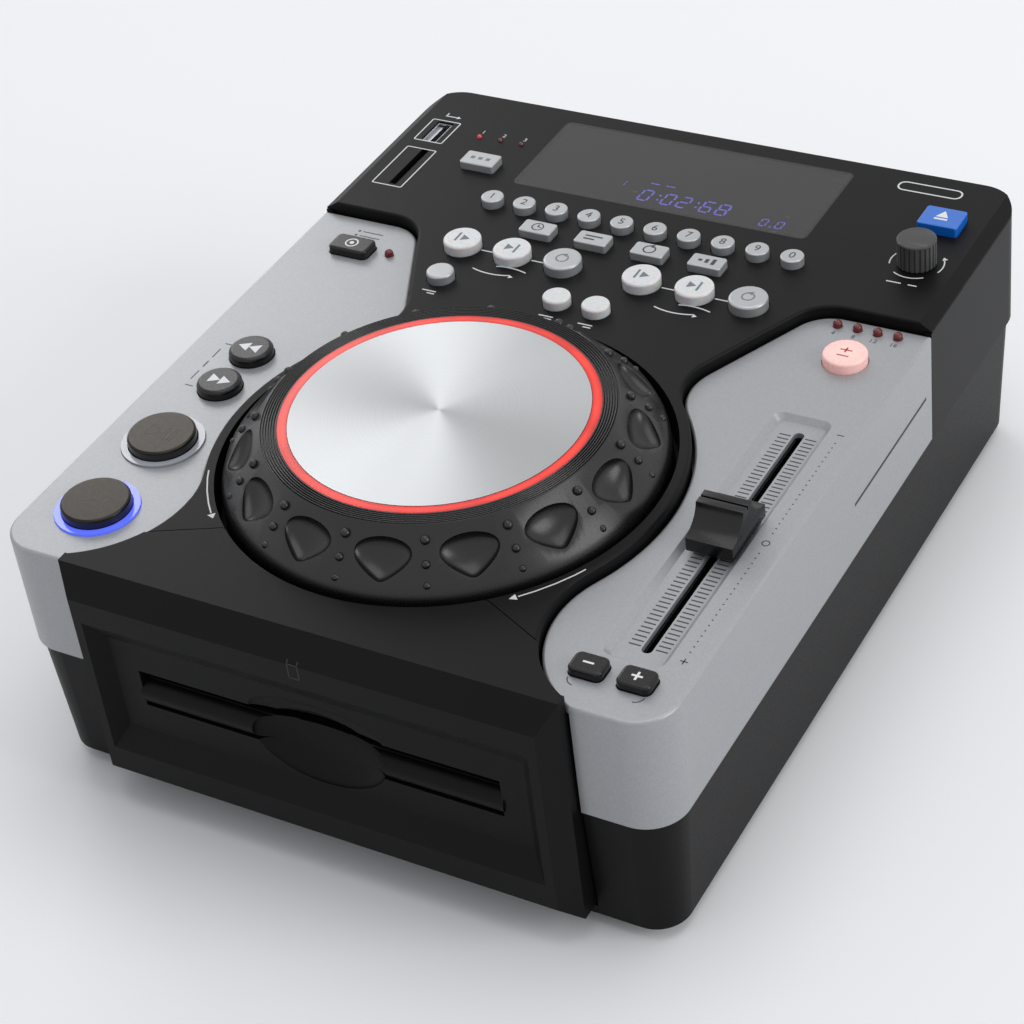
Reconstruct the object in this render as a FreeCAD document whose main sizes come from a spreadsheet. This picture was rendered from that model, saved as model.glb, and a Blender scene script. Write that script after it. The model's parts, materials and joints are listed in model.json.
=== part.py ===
import FreeCAD, Part
import math
import os
from FreeCAD import Placement, Rotation, Vector

# Tabletop disc player with a jog wheel, a pitch fader and a disc slot in its front.
# Millimetres. +Z is up, -Y is the front, and the origin is on the table under the middle of the player.

DIMENSIONS = (
    # Casing
    ("feet_height", 5.0, "rubber feet below the base"),
    ("base_height", 44.6, "base tub, from its underside to the seam with the side covers"),
    ("cover_height", 40.3, "side covers, from the seam to their flat top"),
    ("deck_rise", 3.8, "control deck above the side covers"),
    ("cover_length", 194.4, "side covers, from front to back"),
    ("rear_block_depth", 82.9, "full-width black block behind the side covers"),
    ("bezel_proud", 9.5, "front bezel ahead of the side covers"),
    ("cover_width", 37.1, "side cover where it is narrowest, beside the jog"),
    ("corner_radius", 13.0, "upright corners of the casing"),
    ("wall", 2.5, "moulded walls"),
    ("base_inset", 1.0, "base tub inside the covers at the seam"),
    ("base_draft", 2.9, "degrees that the base tub's sides lean"),
    ("edge_round", 1.0, "rounded edges of the covers and deck"),
    ("panel_gap", 0.8, "gap between a cover and the deck or bezel"),
    ("fit_gap", 0.3, "clearance between pieces that don't move"),
    ("bearing_gap", 0.05, "radial clearance of a turning shaft"),
    # Outline of the deck between the covers
    ("jog_zone_radius", 75.4, "round part of the deck's outline"),
    ("jog_from_front", 82.7, "jog axis behind the covers' front"),
    ("wedge_half_width", 74.8, "where the slanted edge would meet the back of the cover"),
    ("wedge_angle", 64.8, "degrees of the slanted edge from the X axis"),
    ("wedge_corner_radius", 14.0, "rear inner corner of a side cover"),
    ("nose_radius", 20.0, "cover's nose between the slanted edge and the jog"),
    ("lobe_radius", 37.0, "cover's front lobe"),
    ("deck_thickness", 2.5, "top of the control deck"),
    ("deck_skirt", 5.6, "height of the deck's edge"),
    ("deck_chamfer_width", 4.3, "chamfer along the sides of the rear block"),
    ("deck_chamfer_drop", 2.6, "height of that chamfer"),
    # Front bezel
    ("bezel_half_width", 84.0, "bezel at the foot of its bevels"),
    ("bezel_lift", 4.3, "bezel's lower edge above the base tub's underside"),
    ("bezel_bevel_depth", 5.9, "depth of the bevels round the face"),
    ("bezel_side_bevel", 5.3, "width of the side bevels"),
    ("bezel_top_bevel", 9.1, "height of the top bevel"),
    ("bezel_bottom_bevel", 7.2, "height of the bottom bevel"),
    ("bezel_reach", 15.2, "bezel's side walls, from the face back"),
    ("recess_depth", 4.6, "recess in the bezel's face"),
    ("recess_half_width", 75.7, "recess at the face"),
    ("recess_side_slope", 4.7, "width of the recess's side slopes"),
    ("recess_rise", 16.2, "recess's lower edge above the bezel's lower edge"),
    ("recess_height", 50.8, "recess at the face"),
    ("recess_slope", 7.8, "height of the recess's upper and lower slopes"),
    ("bezel_floor", 4.6, "thickness of the bezel behind its recess"),
    ("apron_skirt", 5.2, "thickness of the bezel's apron"),
    ("apron_seam_x", 45.4, "where the apron's rear seam starts at the jog well"),
    ("apron_seam_from_front", 27.1, "that point behind the covers' front"),
    ("apron_seam_fall", 25.5, "degrees that the seam runs forwards"),
    # Disc slot
    ("disc_radius", 60.0, "disc that the player takes"),
    ("slot_side_room", 2.2, "disc slot beyond the disc on each side"),
    ("slot_bottom", 48.2, "lower edge of the open slit above the base tub's underside"),
    ("slot_opening", 4.6, "height of the open slit"),
    ("lip_height", 9.3, "rounded lip below the slit"),
    ("lip_recess", 3.1, "depth of the lip's pocket"),
    ("scoop_half_width", 23.0, "finger scoop"),
    ("scoop_half_height", 14.0, "finger scoop"),
    ("scoop_depth", 6.0, "finger scoop"),
    ("thumb_relief_height", 7.8, "shallow relief above the slit"),
    ("thumb_relief_depth", 2.2, "shallow relief above the slit"),
    # Jog
    ("well_radius", 71.15, "jog well at the deck's top"),
    ("well_depth", 13.7, "jog well below the deck's top"),
    ("well_wall", 2.0, "jog well's wall and floor"),
    ("jog_post_radius", 8.0, "post that carries the jog"),
    ("jog_rise", 16.6, "jog's rim above the deck's top"),
    ("jog_disc_radius", 46.1, "aluminium disc"),
    ("jog_light_radius", 49.2, "outside of the light ring"),
    ("jog_rim_radius", 54.7, "outside of the grooved rim"),
    ("jog_skirt_radius", 68.7, "foot of the jog's slanted skirt"),
    ("jog_foot_radius", 69.3, "jog's skirt inside the well"),
    ("jog_clearance", 3.2, "jog's lower edge above the well's floor"),
    ("jog_wall", 3.4, "jog's moulded wall"),
    ("jog_ring_height", 2.0, "light ring"),
    ("jog_disc_thickness", 1.3, "aluminium disc"),
    ("jog_grooves", 5, "fine grooves in the rim"),
    ("dimple_count", 15, "finger dimples round the skirt"),
    ("dimple_radius", 62.0, "dimples' centres from the axis"),
    ("dimple_rise", 9.0, "dimples' centres above the deck's top"),
    ("dimple_length", 8.6, "half length of a dimple down the skirt"),
    ("dimple_width", 7.0, "half width of a dimple"),
    ("dimple_depth", 3.2, "depth of a dimple"),
    ("dimple_phase", 19.4, "degrees from the X axis to a dimple"),
    ("skirt_shoulder_reach", 8.2, "skirt's bend outside the rim"),
    ("skirt_shoulder_drop", 8.4, "skirt's bend below the rim"),
    ("bump_row_start", 2.9, "innermost grip bump outside the rim"),
    ("bump_spacing", 5.0, "spacing of the three grip bumps in a row"),
    ("bump_radius", 1.5, "innermost grip bump"),
    # Keys
    ("key_travel", 1.0, "travel of every key and button"),
    ("key_flange", 1.1, "height and overhang of the flange that holds a key in"),
    ("key_stem_radius", 1.6, "stem above the switch"),
    ("key_gap", 0.3, "clearance between a key and its hole"),
    ("board_drop", 14.1, "control board's top below the deck's top"),
    ("board_thickness", 1.6, "every circuit board"),
    ("switch_height", 3.5, "switches on the control board"),
    ("switch_side", 6.0, "switches on the control board"),
    ("number_key_radius", 3.95, "number keys"),
    ("number_key_rise", 3.0, "number keys above the deck"),
    ("number_key_pitch", 12.47, "spacing of the number keys"),
    ("number_key_first_x", -55.1, "leftmost number key"),
    ("number_row", 18.6, "number keys behind the step"),
    ("bar_key_length", 12.0, "rectangular keys"),
    ("bar_key_width", 7.0, "rectangular keys"),
    ("bar_key_rise", 2.8, "rectangular keys above the deck"),
    ("bar_key_pitch", 21.0, "spacing of the rectangular keys"),
    ("bar_key_first_x", -30.9, "leftmost rectangular key"),
    ("bar_row", 6.6, "rectangular keys behind the step"),
    ("loop_key_radius", 6.5, "loop keys"),
    ("loop_key_rise", 3.6, "loop keys above the deck"),
    ("loop_key_pitch", 19.1, "spacing of the loop keys"),
    ("loop_left_x", -51.7, "first key of the left loop group"),
    ("loop_right_x", 15.7, "first key of the right loop group"),
    ("loop_row", 8.7, "loop keys ahead of the step"),
    ("small_key_radius", 4.7, "tap, reverse and brake keys"),
    ("small_key_rise", 3.2, "tap, reverse and brake keys above the deck"),
    ("tap_key_x", -49.4, "tap key"),
    ("reverse_key_x", -5.6, "reverse key"),
    ("brake_key_x", 8.7, "brake key"),
    ("small_row", 28.0, "tap, reverse and brake keys ahead of the step"),
    ("source_key_length", 13.3, "source key"),
    ("source_key_width", 8.0, "source key"),
    ("source_key_x", -71.3, "source key"),
    ("source_row", 39.3, "source key behind the step"),
    ("eject_key_length", 14.0, "eject key"),
    ("eject_key_width", 11.0, "eject key"),
    ("eject_key_rise", 3.5, "eject key above the deck"),
    ("eject_from_side", 17.8, "eject key inside the casing's side"),
    ("eject_row", 55.1, "eject key behind the step"),
    ("knob_radius", 6.5, "track knob"),
    ("knob_rise", 9.7, "track knob above the deck"),
    ("knob_from_side", 17.4, "track knob inside the casing's side"),
    ("knob_row", 31.8, "track knob behind the step"),
    ("knob_shaft_radius", 3.0, "track knob's shaft"),
    ("knob_flutes", 24, "grip flutes of the track knob"),
    ("mode_key_length", 15.0, "jog mode key"),
    ("mode_key_width", 9.0, "jog mode key"),
    ("mode_key_rise", 3.0, "jog mode key above the cover"),
    ("mode_key_from_side", 22.2, "jog mode key inside the casing's side"),
    ("mode_row", 18.4, "jog mode key ahead of the step"),
    ("search_key_radius", 7.4, "search keys"),
    ("search_key_rise", 3.2, "search keys above the cover"),
    ("search_from_side", 23.0, "search keys inside the casing's side"),
    ("search_back_row", 110.6, "search back key behind the front"),
    ("search_forward_row", 91.6, "search forward key behind the front"),
    ("main_button_radius", 11.0, "cue and play buttons"),
    ("main_button_rise", 3.8, "cue and play buttons above the cover"),
    ("main_button_from_side", 21.9, "cue and play buttons inside the casing's side"),
    ("cue_row", 60.6, "cue button behind the front"),
    ("play_row", 24.8, "play button behind the front"),
    ("light_ring_width", 2.1, "light rings round the cue and play buttons"),
    ("pitch_button_radius", 7.15, "pitch button"),
    ("pitch_button_rise", 3.6, "pitch button above the cover"),
    ("pitch_button_from_side", 20.0, "pitch button inside the casing's side"),
    ("pitch_button_row", 21.4, "pitch button ahead of the step"),
    ("bend_key_length", 10.5, "pitch down and up keys"),
    ("bend_key_width", 8.0, "pitch down and up keys"),
    ("bend_key_rise", 2.8, "pitch down and up keys above the cover"),
    ("bend_key_row", 15.5, "pitch down and up keys behind the front"),
    ("bend_down_from_side", 29.1, "pitch down key inside the casing's side"),
    ("bend_up_from_side", 14.2, "pitch up key inside the casing's side"),
    # Pitch fader
    ("fader_from_side", 19.0, "fader's slot inside the casing's side"),
    ("fader_slot_length", 107.1, "fader's slot"),
    ("fader_slot_width", 3.3, "fader's slot"),
    ("fader_recess_length", 119.3, "recess round the slot"),
    ("fader_recess_width", 19.3, "recess round the slot"),
    ("fader_recess_from_side", 20.15, "recess's middle inside the casing's side"),
    ("fader_recess_depth", 1.8, "recess round the slot"),
    ("fader_cap_width", 15.0, "fader's cap"),
    ("fader_cap_length", 22.5, "fader's cap"),
    ("fader_cap_rise", 12.0, "top of the fader's cap above the cover"),
    ("fader_travel", 100.0, "travel of the fader"),
    ("fader_stem_width", 1.6, "blade that runs in the slot"),
    ("fader_stem_length", 5.0, "blade that runs in the slot"),
    ("fader_body_width", 12.0, "slide potentiometer"),
    ("fader_body_length", 120.0, "slide potentiometer"),
    # Lamps, display and media sockets
    ("lamp_radius", 1.5, "lamps on the covers"),
    ("source_lamp_radius", 0.9, "source lamps on the deck"),
    ("pitch_lamp_from_side", 29.7, "innermost pitch range lamp inside the casing's side"),
    ("pitch_lamp_pitch", 6.8, "spacing of the pitch range lamps"),
    ("pitch_lamp_row", 4.5, "pitch range lamps ahead of the step"),
    ("mode_lamp_from_side", 35.9, "jog mode lamp inside the casing's side"),
    ("mode_lamp_row", 17.1, "jog mode lamp ahead of the step"),
    ("source_lamp_first_x", -81.4, "leftmost source lamp"),
    ("source_lamp_pitch", 8.5, "spacing of the source lamps"),
    ("source_lamp_row", 56.2, "source lamps behind the step"),
    ("window_half_width", 55.0, "display window"),
    ("window_depth", 42.4, "display window, front to back"),
    ("window_row", 32.9, "front edge of the display window behind the step"),
    ("window_thickness", 2.0, "display window"),
    ("window_ledge", 2.0, "ledge that carries the window"),
    ("usb_from_side", 14.5, "media socket inside the casing's side"),
    ("usb_row", 54.3, "media socket behind the step"),
    ("usb_width", 5.7, "media socket's metal shell"),
    ("usb_length", 13.1, "media socket's metal shell"),
    ("usb_depth", 10.0, "media socket's metal shell"),
    ("card_from_side", 16.8, "card slot inside the casing's side"),
    ("card_row", 30.6, "middle of the card slot behind the step"),
    ("card_length", 24.6, "card slot"),
    ("card_width", 2.9, "card slot"),
    # Inside
    ("drive_side_room", 10.0, "slot-in drive beyond the disc on each side"),
    ("drive_end_room", 28.5, "slot-in drive's length beyond the disc's diameter"),
    ("drive_from_face", 13.7, "slot-in drive behind the bezel's face"),
    ("drive_floor_drop", 17.2, "drive's floor below the slit"),
    ("drive_sheet", 2.0, "drive's sheet metal"),
    ("roller_radius", 3.7, "loading roller"),
    ("roller_from_drive_front", 6.5, "loading roller behind the drive's front"),
    ("disc_from_drive_front", 9.5, "loaded disc's edge behind the drive's front"),
    ("turntable_radius", 14.0, "turntable"),
    ("spindle_radius", 1.0, "turntable's shaft"),
    ("rod_radius", 1.5, "laser sled's guide rods"),
    ("rod_half_spacing", 16.0, "laser sled's guide rods"),
    ("sled_length", 20.0, "laser sled"),
    ("sled_travel", 34.0, "laser sled"),
    ("sled_from_spindle", 19.0, "laser sled's near edge from the turntable's axis, at rest"),
    ("main_board_height", 9.0, "main board and power supply above the base tub's underside"),
    ("rear_bay_depth", 12.0, "socket bay in the rear wall"),
    ("rear_bay_half_width", 62.0, "socket bay in the rear wall"),
    ("rear_bay_bottom", 8.0, "socket bay above the seam"),
    ("rear_bay_height", 20.0, "socket bay in the rear wall"),
    ("foot_radius", 9.0, "rubber feet"),
    ("foot_from_side", 24.0, "feet inside the casing's side"),
    ("foot_from_end", 24.0, "feet from the casing's front and back"),
    ("screw_radius", 1.5, "case screws"),
    ("screw_length", 56.0, "case screws"),
    ("screw_from_side", 8.0, "case screws inside the casing's side"),
    ("screw_front", 46.0, "front case screws behind the covers' front"),
    ("screw_back", 152.0, "rear case screws behind the covers' front"),
)

DOC = FreeCAD.newDocument("DiscPlayer")


class Size:
    """A length as a number, together with the sheet expression that drives it."""

    def __init__(self, text, number):
        self.text = text
        self.number = number

    def __float__(self):
        return float(self.number)

    def __add__(self, other):
        return Size(f"({self.text} + {expression(other)})", self.number + float(other))

    def __radd__(self, other):
        return Size(f"({expression(other)} + {self.text})", float(other) + self.number)

    def __sub__(self, other):
        return Size(f"({self.text} - {expression(other)})", self.number - float(other))

    def __rsub__(self, other):
        return Size(f"({expression(other)} - {self.text})", float(other) - self.number)

    def __mul__(self, other):
        return Size(f"({self.text} * {expression(other)})", self.number * float(other))

    __rmul__ = __mul__

    def __truediv__(self, other):
        return Size(f"({self.text} / {expression(other)})", self.number / float(other))

    def __neg__(self):
        return Size(f"(0 - {self.text})", -self.number)


def expression(value):
    return value.text if isinstance(value, Size) else repr(float(value))


class Dimensions:
    """The driving dimensions, kept in a spreadsheet and read back by name."""

    def __init__(self):
        sheet = DOC.addObject("Spreadsheet::Sheet", "Dimensions")
        for row, (alias, value, meaning) in enumerate(DIMENSIONS, start=1):
            sheet.set(f"A{row}", alias)
            sheet.set(f"B{row}", str(value))
            sheet.set(f"C{row}", meaning)
            sheet.setAlias(f"B{row}", alias)
        DOC.recompute()
        for alias, _value, _meaning in DIMENSIONS:
            setattr(self, alias, Size(f"Dimensions.{alias}", float(sheet.get(alias))))


D = Dimensions()

# Main planes
HALF_WIDTH = D.jog_zone_radius + D.cover_width
FACE_Y = -(D.cover_length + D.rear_block_depth + D.bezel_proud) / 2
FRONT_Y = FACE_Y + D.bezel_proud
STEP_Y = FRONT_Y + D.cover_length
REAR_Y = STEP_Y + D.rear_block_depth
JOG_Y = FRONT_Y + D.jog_from_front
BASE_Z = D.feet_height
SEAM_Z = BASE_Z + D.base_height
COVER_Z = SEAM_Z + D.cover_height
DECK_Z = COVER_Z + D.deck_rise
BOARD_Z = DECK_Z - D.board_drop
WELL_Z = DECK_Z - D.well_depth
SLIT_Z = BASE_Z + D.slot_bottom
BEZEL_Z = BASE_Z + D.bezel_lift
BEVEL_Y = FACE_Y + D.bezel_bevel_depth
FLOOR_Y = FACE_Y + D.recess_depth
DRIVE_Y = FACE_Y + D.drive_from_face
DRIVE_Z = SLIT_Z - D.drive_floor_drop
SPINDLE_Y = DRIVE_Y + D.disc_from_drive_front + D.disc_radius
SLOT_HALF_WIDTH = D.disc_radius + D.slot_side_room
DRIVE_HALF_WIDTH = D.disc_radius + D.drive_side_room
DRIVE_LENGTH = 2 * D.disc_radius + D.drive_end_room


def place(target, at):
    for letter, value in zip("xyz", at):
        target.setExpression(f"Placement.Base.{letter}", expression(value))


AXES = {
    "X": Rotation(Vector(0, 1, 0), 90),
    "Y": Rotation(Vector(1, 0, 0), -90),
    "Z": Rotation(),
}


class Piece:
    """One sub-part: a body whose features add or cut simple forms."""

    made = []

    def __init__(self, label, at=(0, 0, 0)):
        self.body = DOC.addObject("PartDesign::Body", label)
        self.body.Label = label
        self.body.AllowCompound = True
        place(self.body, at)
        Piece.made.append(self)

    def origin_part(self, role):
        return [part for part in self.body.Origin.OriginFeatures if part.Role == role][0]

    def volume(self):
        return 0.0 if self.body.Shape.isNull() else self.body.Shape.Volume

    def feature(self, kind, name, cut=False, at=None, turn=None, **sizes):
        """Add or cut one primitive, and see that a cut took something away."""
        before = self.volume()
        prefix = "Subtractive" if cut else "Additive"
        item = self.body.newObject(f"PartDesign::{prefix}{kind}", name)
        for prop, size in sizes.items():
            item.setExpression(prop, expression(size))
        if turn is not None:
            item.Placement = Placement(Vector(), turn)
        place(item, at)
        self.settle(item, before, cut)
        return item

    def settle(self, item, before, cut):
        DOC.recompute()
        if cut and self.volume() >= before:
            raise RuntimeError(f"{item.Label} of {self.body.Label} cuts nothing")

    def box(self, name, low, sides, cut=False):
        return self.feature("Box", name, cut, low, Length=sides[0], Width=sides[1], Height=sides[2])

    def cylinder(self, name, foot, radius, height, axis="Z", cut=False):
        return self.feature("Cylinder", name, cut, foot, AXES[axis], Radius=radius, Height=height)

    def cone(self, name, foot, low_radius, high_radius, height, axis="Z", cut=False):
        return self.feature("Cone", name, cut, foot, AXES[axis],
                            Radius1=low_radius, Radius2=high_radius, Height=height)

    def ellipsoid(self, name, centre, radii, cut=False, turn=None):
        return self.feature("Ellipsoid", name, cut, centre, turn,
                            Radius2=radii[0], Radius3=radii[1], Radius1=radii[2])

    def wedge(self, name, near, far, near_y, far_y, cut=False, turn=None):
        """A frustum along Y. near and far are (low x, high x, low z, high z)."""
        return self.feature("Wedge", name, cut, (0, 0, 0), turn, Ymin=near_y, Ymax=far_y,
                            Xmin=near[0], Xmax=near[1], Zmin=near[2], Zmax=near[3],
                            X2min=far[0], X2max=far[1], Z2min=far[2], Z2max=far[3])

    def sketch(self, name, edges, role="XY_Plane", height=0):
        drawing = self.body.newObject("Sketcher::SketchObject", name)
        drawing.AttachmentSupport = [(self.origin_part(role), "")]
        drawing.MapMode = "FlatFace"
        drawing.setExpression("AttachmentOffset.Base.z", expression(height))
        drawing.addGeometry(edges)
        return drawing

    def plate(self, name, edges, low, height, cut=False, taper=0):
        """Extrude an outline upwards from a height, with a taper in degrees that widens it."""
        before = self.volume()
        drawing = self.sketch(name + "_plan", edges, height=low)
        kind = "PartDesign::Pocket" if cut else "PartDesign::Pad"
        item = self.body.newObject(kind, name)
        item.Profile = drawing
        item.Reversed = cut
        item.setExpression("Length", expression(height))
        item.setExpression("TaperAngle", expression(taper))
        self.settle(item, before, cut)
        return item

    def turned(self, name, edges):
        """Revolve a half profile, drawn in X and Z, about the Z axis."""
        drawing = self.sketch(name + "_profile", edges, role="XZ_Plane")
        item = self.body.newObject("PartDesign::Revolution", name)
        item.Profile = drawing
        item.ReferenceAxis = (drawing, ["V_Axis"])
        item.Angle = 360
        DOC.recompute()
        return item

    def around(self, name, feature, count):
        """Repeat a feature round the body's own Z axis."""
        item = self.body.newObject("PartDesign::PolarPattern", name)
        item.Originals = [feature]
        item.Axis = (self.origin_part("Z_Axis"), [""])
        item.Angle = 360
        item.Occurrences = int(float(count))
        self.body.Tip = item
        DOC.recompute()
        return item

    def rounded(self, name, radius, chosen):
        """Round the edges that a test picks."""
        tip = self.body.Tip
        edges = [f"Edge{number}" for number, edge in enumerate(tip.Shape.Edges, start=1) if chosen(edge)]
        if not edges:
            raise RuntimeError(f"{name} of {self.body.Label} finds no edge")
        item = self.body.newObject("PartDesign::Fillet", name)
        item.Base = (tip, edges)
        item.setExpression("Radius", expression(radius))
        DOC.recompute()
        return item


def lies_at(edge, axis, value):
    """Whether a whole edge lies in the plane where the axis has this value."""
    box = edge.BoundBox
    low, high = getattr(box, axis + "Min"), getattr(box, axis + "Max")
    return abs(low - float(value)) < 0.01 and abs(high - float(value)) < 0.01


def is_upright(edge):
    box = edge.BoundBox
    return box.XLength < 0.01 and box.YLength < 0.01 and box.ZLength > 0.01


def segment(start, end):
    return Part.LineSegment(Vector(*start, 0), Vector(*end, 0))


def arc(centre, start, end, far_side=False):
    """The arc about a centre from start to end, the short way unless far_side."""
    toward = Vector(*start, 0) + Vector(*end, 0) - Vector(*centre, 0) * 2
    radius = math.dist(centre, start)
    toward.Length = -radius if far_side else radius
    middle = Vector(*centre, 0) + toward
    return Part.Arc(Vector(*start, 0), middle, Vector(*end, 0))


def rounded_rectangle(low, high, radius):
    """The outline of a rectangle with rounded corners, from its low and high corners."""
    x0, y0, x1, y1 = float(low[0]), float(low[1]), float(high[0]), float(high[1])
    r = float(radius)
    return [
        segment((x0 + r, y0), (x1 - r, y0)),
        arc((x1 - r, y0 + r), (x1 - r, y0), (x1, y0 + r)),
        segment((x1, y0 + r), (x1, y1 - r)),
        arc((x1 - r, y1 - r), (x1, y1 - r), (x1 - r, y1)),
        segment((x1 - r, y1), (x0 + r, y1)),
        arc((x0 + r, y1 - r), (x0 + r, y1), (x0, y1 - r)),
        segment((x0, y1 - r), (x0, y0 + r)),
        arc((x0 + r, y0 + r), (x0, y0 + r), (x0 + r, y0)),
    ]


def centred(x, y, length, width, radius):
    """The outline of a rounded rectangle about a point."""
    low = (x - length / 2, y - width / 2)
    high = (x + length / 2, y + width / 2)
    return rounded_rectangle(low, high, radius)


def square(x, y, length, width):
    """The outline of a rectangle about a point."""
    x, y, length, width = float(x), float(y), float(length), float(width)
    corners = [(x + i * length / 2, y + j * width / 2) for i, j in ((-1, -1), (1, -1), (1, 1), (-1, 1))]
    return [segment(corners[i], corners[(i + 1) % 4]) for i in range(4)]


def circles(places, radius):
    """A circle of one radius about each place."""
    return [Part.Circle(Vector(float(x), float(y), 0), Vector(0, 0, 1), float(radius)) for x, y in places]


class Seam:
    """The right-hand line where the deck meets the side cover, from the back to the front.

    It runs along the back of the cover, round a corner, down a slanted edge, round the cover's
    nose, along the round part about the jog and round the cover's front lobe. An offset moves
    it outwards from the cover, into the deck.
    """

    def __init__(self, offset):
        self.offset = float(offset)
        self.jog = (0.0, float(JOG_Y))
        self.step = float(STEP_Y)
        self.front = float(FRONT_Y)
        slant = math.radians(float(D.wedge_angle))
        self.along = (math.cos(slant), math.sin(slant))
        self.outward = (-math.sin(slant), math.cos(slant))
        self.corner = self.find_corner()
        self.nose = self.find_nose()
        self.lobe = self.find_lobe()

    def find_corner(self):
        radius = float(D.wedge_corner_radius)
        angle = math.radians(float(D.wedge_angle))
        x = float(D.wedge_half_width) + radius * math.tan(angle / 2)
        return (x, self.step - radius)

    def find_nose(self):
        """Centre of the nose: touches the slanted edge and the round part about the jog."""
        radius = float(D.nose_radius)
        start = (float(D.wedge_half_width) - self.outward[0] * radius - self.jog[0],
                 self.step - self.outward[1] * radius - self.jog[1])
        reach = float(D.jog_zone_radius) + radius
        run = start[0] * self.along[0] + start[1] * self.along[1]
        rest = start[0] ** 2 + start[1] ** 2 - reach ** 2
        shift = -run + math.sqrt(run ** 2 - rest)
        return (self.jog[0] + start[0] + shift * self.along[0],
                self.jog[1] + start[1] + shift * self.along[1])

    def find_lobe(self):
        """Centre of the lobe: touches the round part and meets the front beside the bezel."""
        radius = float(D.lobe_radius)
        reach = float(D.jog_zone_radius) + radius
        end = (float(D.bezel_half_width + D.panel_gap), self.front)
        span = math.dist(self.jog, end)
        along = (reach ** 2 - radius ** 2 + span ** 2) / (2 * span)
        aside = math.sqrt(reach ** 2 - along ** 2)
        unit = ((end[0] - self.jog[0]) / span, (end[1] - self.jog[1]) / span)
        return (self.jog[0] + along * unit[0] - aside * unit[1],
                self.jog[1] + along * unit[1] + aside * unit[0])

    def tangent_point(self, centre, radius, toward):
        span = math.dist(centre, toward)
        return (centre[0] + (toward[0] - centre[0]) * radius / span,
                centre[1] + (toward[1] - centre[1]) * radius / span)

    def lobe_at(self, y):
        """Where the lobe crosses a line of constant y."""
        radius = float(D.lobe_radius) + self.offset
        return (self.lobe[0] - math.sqrt(radius ** 2 - (y - self.lobe[1]) ** 2), y)

    def lobe_on_line(self, point, direction):
        """Where the lobe crosses a slanted line, on its side towards the jog."""
        radius = float(D.lobe_radius) + self.offset
        away = (point[0] - self.lobe[0], point[1] - self.lobe[1])
        run = away[0] * direction[0] + away[1] * direction[1]
        rest = away[0] ** 2 + away[1] ** 2 - radius ** 2
        shift = -run - math.sqrt(run ** 2 - rest)
        return (point[0] + shift * direction[0], point[1] + shift * direction[1])

    def edges(self, end_y):
        """Edges from the corner by the step to where the lobe reaches end_y, and both ends."""
        gap = self.offset
        corner_radius = float(D.wedge_corner_radius) + gap
        nose_radius = float(D.nose_radius) + gap
        start = (self.corner[0], self.corner[1] + corner_radius)
        bend = (self.corner[0] + self.outward[0] * corner_radius,
                self.corner[1] + self.outward[1] * corner_radius)
        slant_end = (self.nose[0] + self.outward[0] * nose_radius,
                     self.nose[1] + self.outward[1] * nose_radius)
        nose_end = self.tangent_point(self.nose, nose_radius, self.jog)
        round_radius = float(D.jog_zone_radius) - gap
        round_end = self.tangent_point(self.jog, round_radius, self.lobe)
        end = self.lobe_at(end_y)
        chain = [
            arc(self.corner, start, bend),
            segment(bend, slant_end),
            arc(self.nose, slant_end, nose_end),
            arc(self.jog, nose_end, round_end),
            arc(self.lobe, round_end, end),
        ]
        return chain, start, end


def mirrored(edges):
    """Copies of the edges on the other side of the player's middle."""
    flip = FreeCAD.Matrix()
    flip.A11 = -1
    copies = []
    for edge in edges:
        first, last = edge.FirstParameter, edge.LastParameter
        start, middle, end = [flip.multVec(edge.value(at)) for at in (first, (first + last) / 2, last)]
        straight = isinstance(edge, Part.LineSegment)
        copies.append(Part.LineSegment(start, end) if straight else Part.Arc(start, middle, end))
    return copies


def side_cover_outline(side):
    """Plan of a side cover, side +1 right or -1 left."""
    seam = Seam(0)
    chain, start, end = seam.edges(seam.front)
    x = float(HALF_WIDTH)
    r = float(D.corner_radius)
    edges = chain + [
        segment(end, (x - r, seam.front)),
        arc((x - r, seam.front + r), (x - r, seam.front), (x, seam.front + r)),
        segment((x, seam.front + r), (x, seam.step)),
        segment((x, seam.step), start),
    ]
    return edges if side > 0 else mirrored(edges)


def deck_outline(offset, margin, end_y):
    """Plan of the control deck: inside the seam by offset and inside the casing by margin."""
    seam = Seam(offset)
    chain, start, end = seam.edges(end_y)
    x = float(HALF_WIDTH) - float(margin)
    rear = float(REAR_Y) - float(margin)
    r = float(D.corner_radius) - float(margin)
    right = chain + [
        segment((x, start[1]), start),
        segment((x, start[1]), (x, rear - r)),
        arc((x - r, rear - r), (x, rear - r), (x - r, rear)),
    ]
    ends = [segment((x - r, rear), (r - x, rear)), segment(end, (-end[0], end[1]))]
    return right + mirrored(right) + ends


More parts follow.
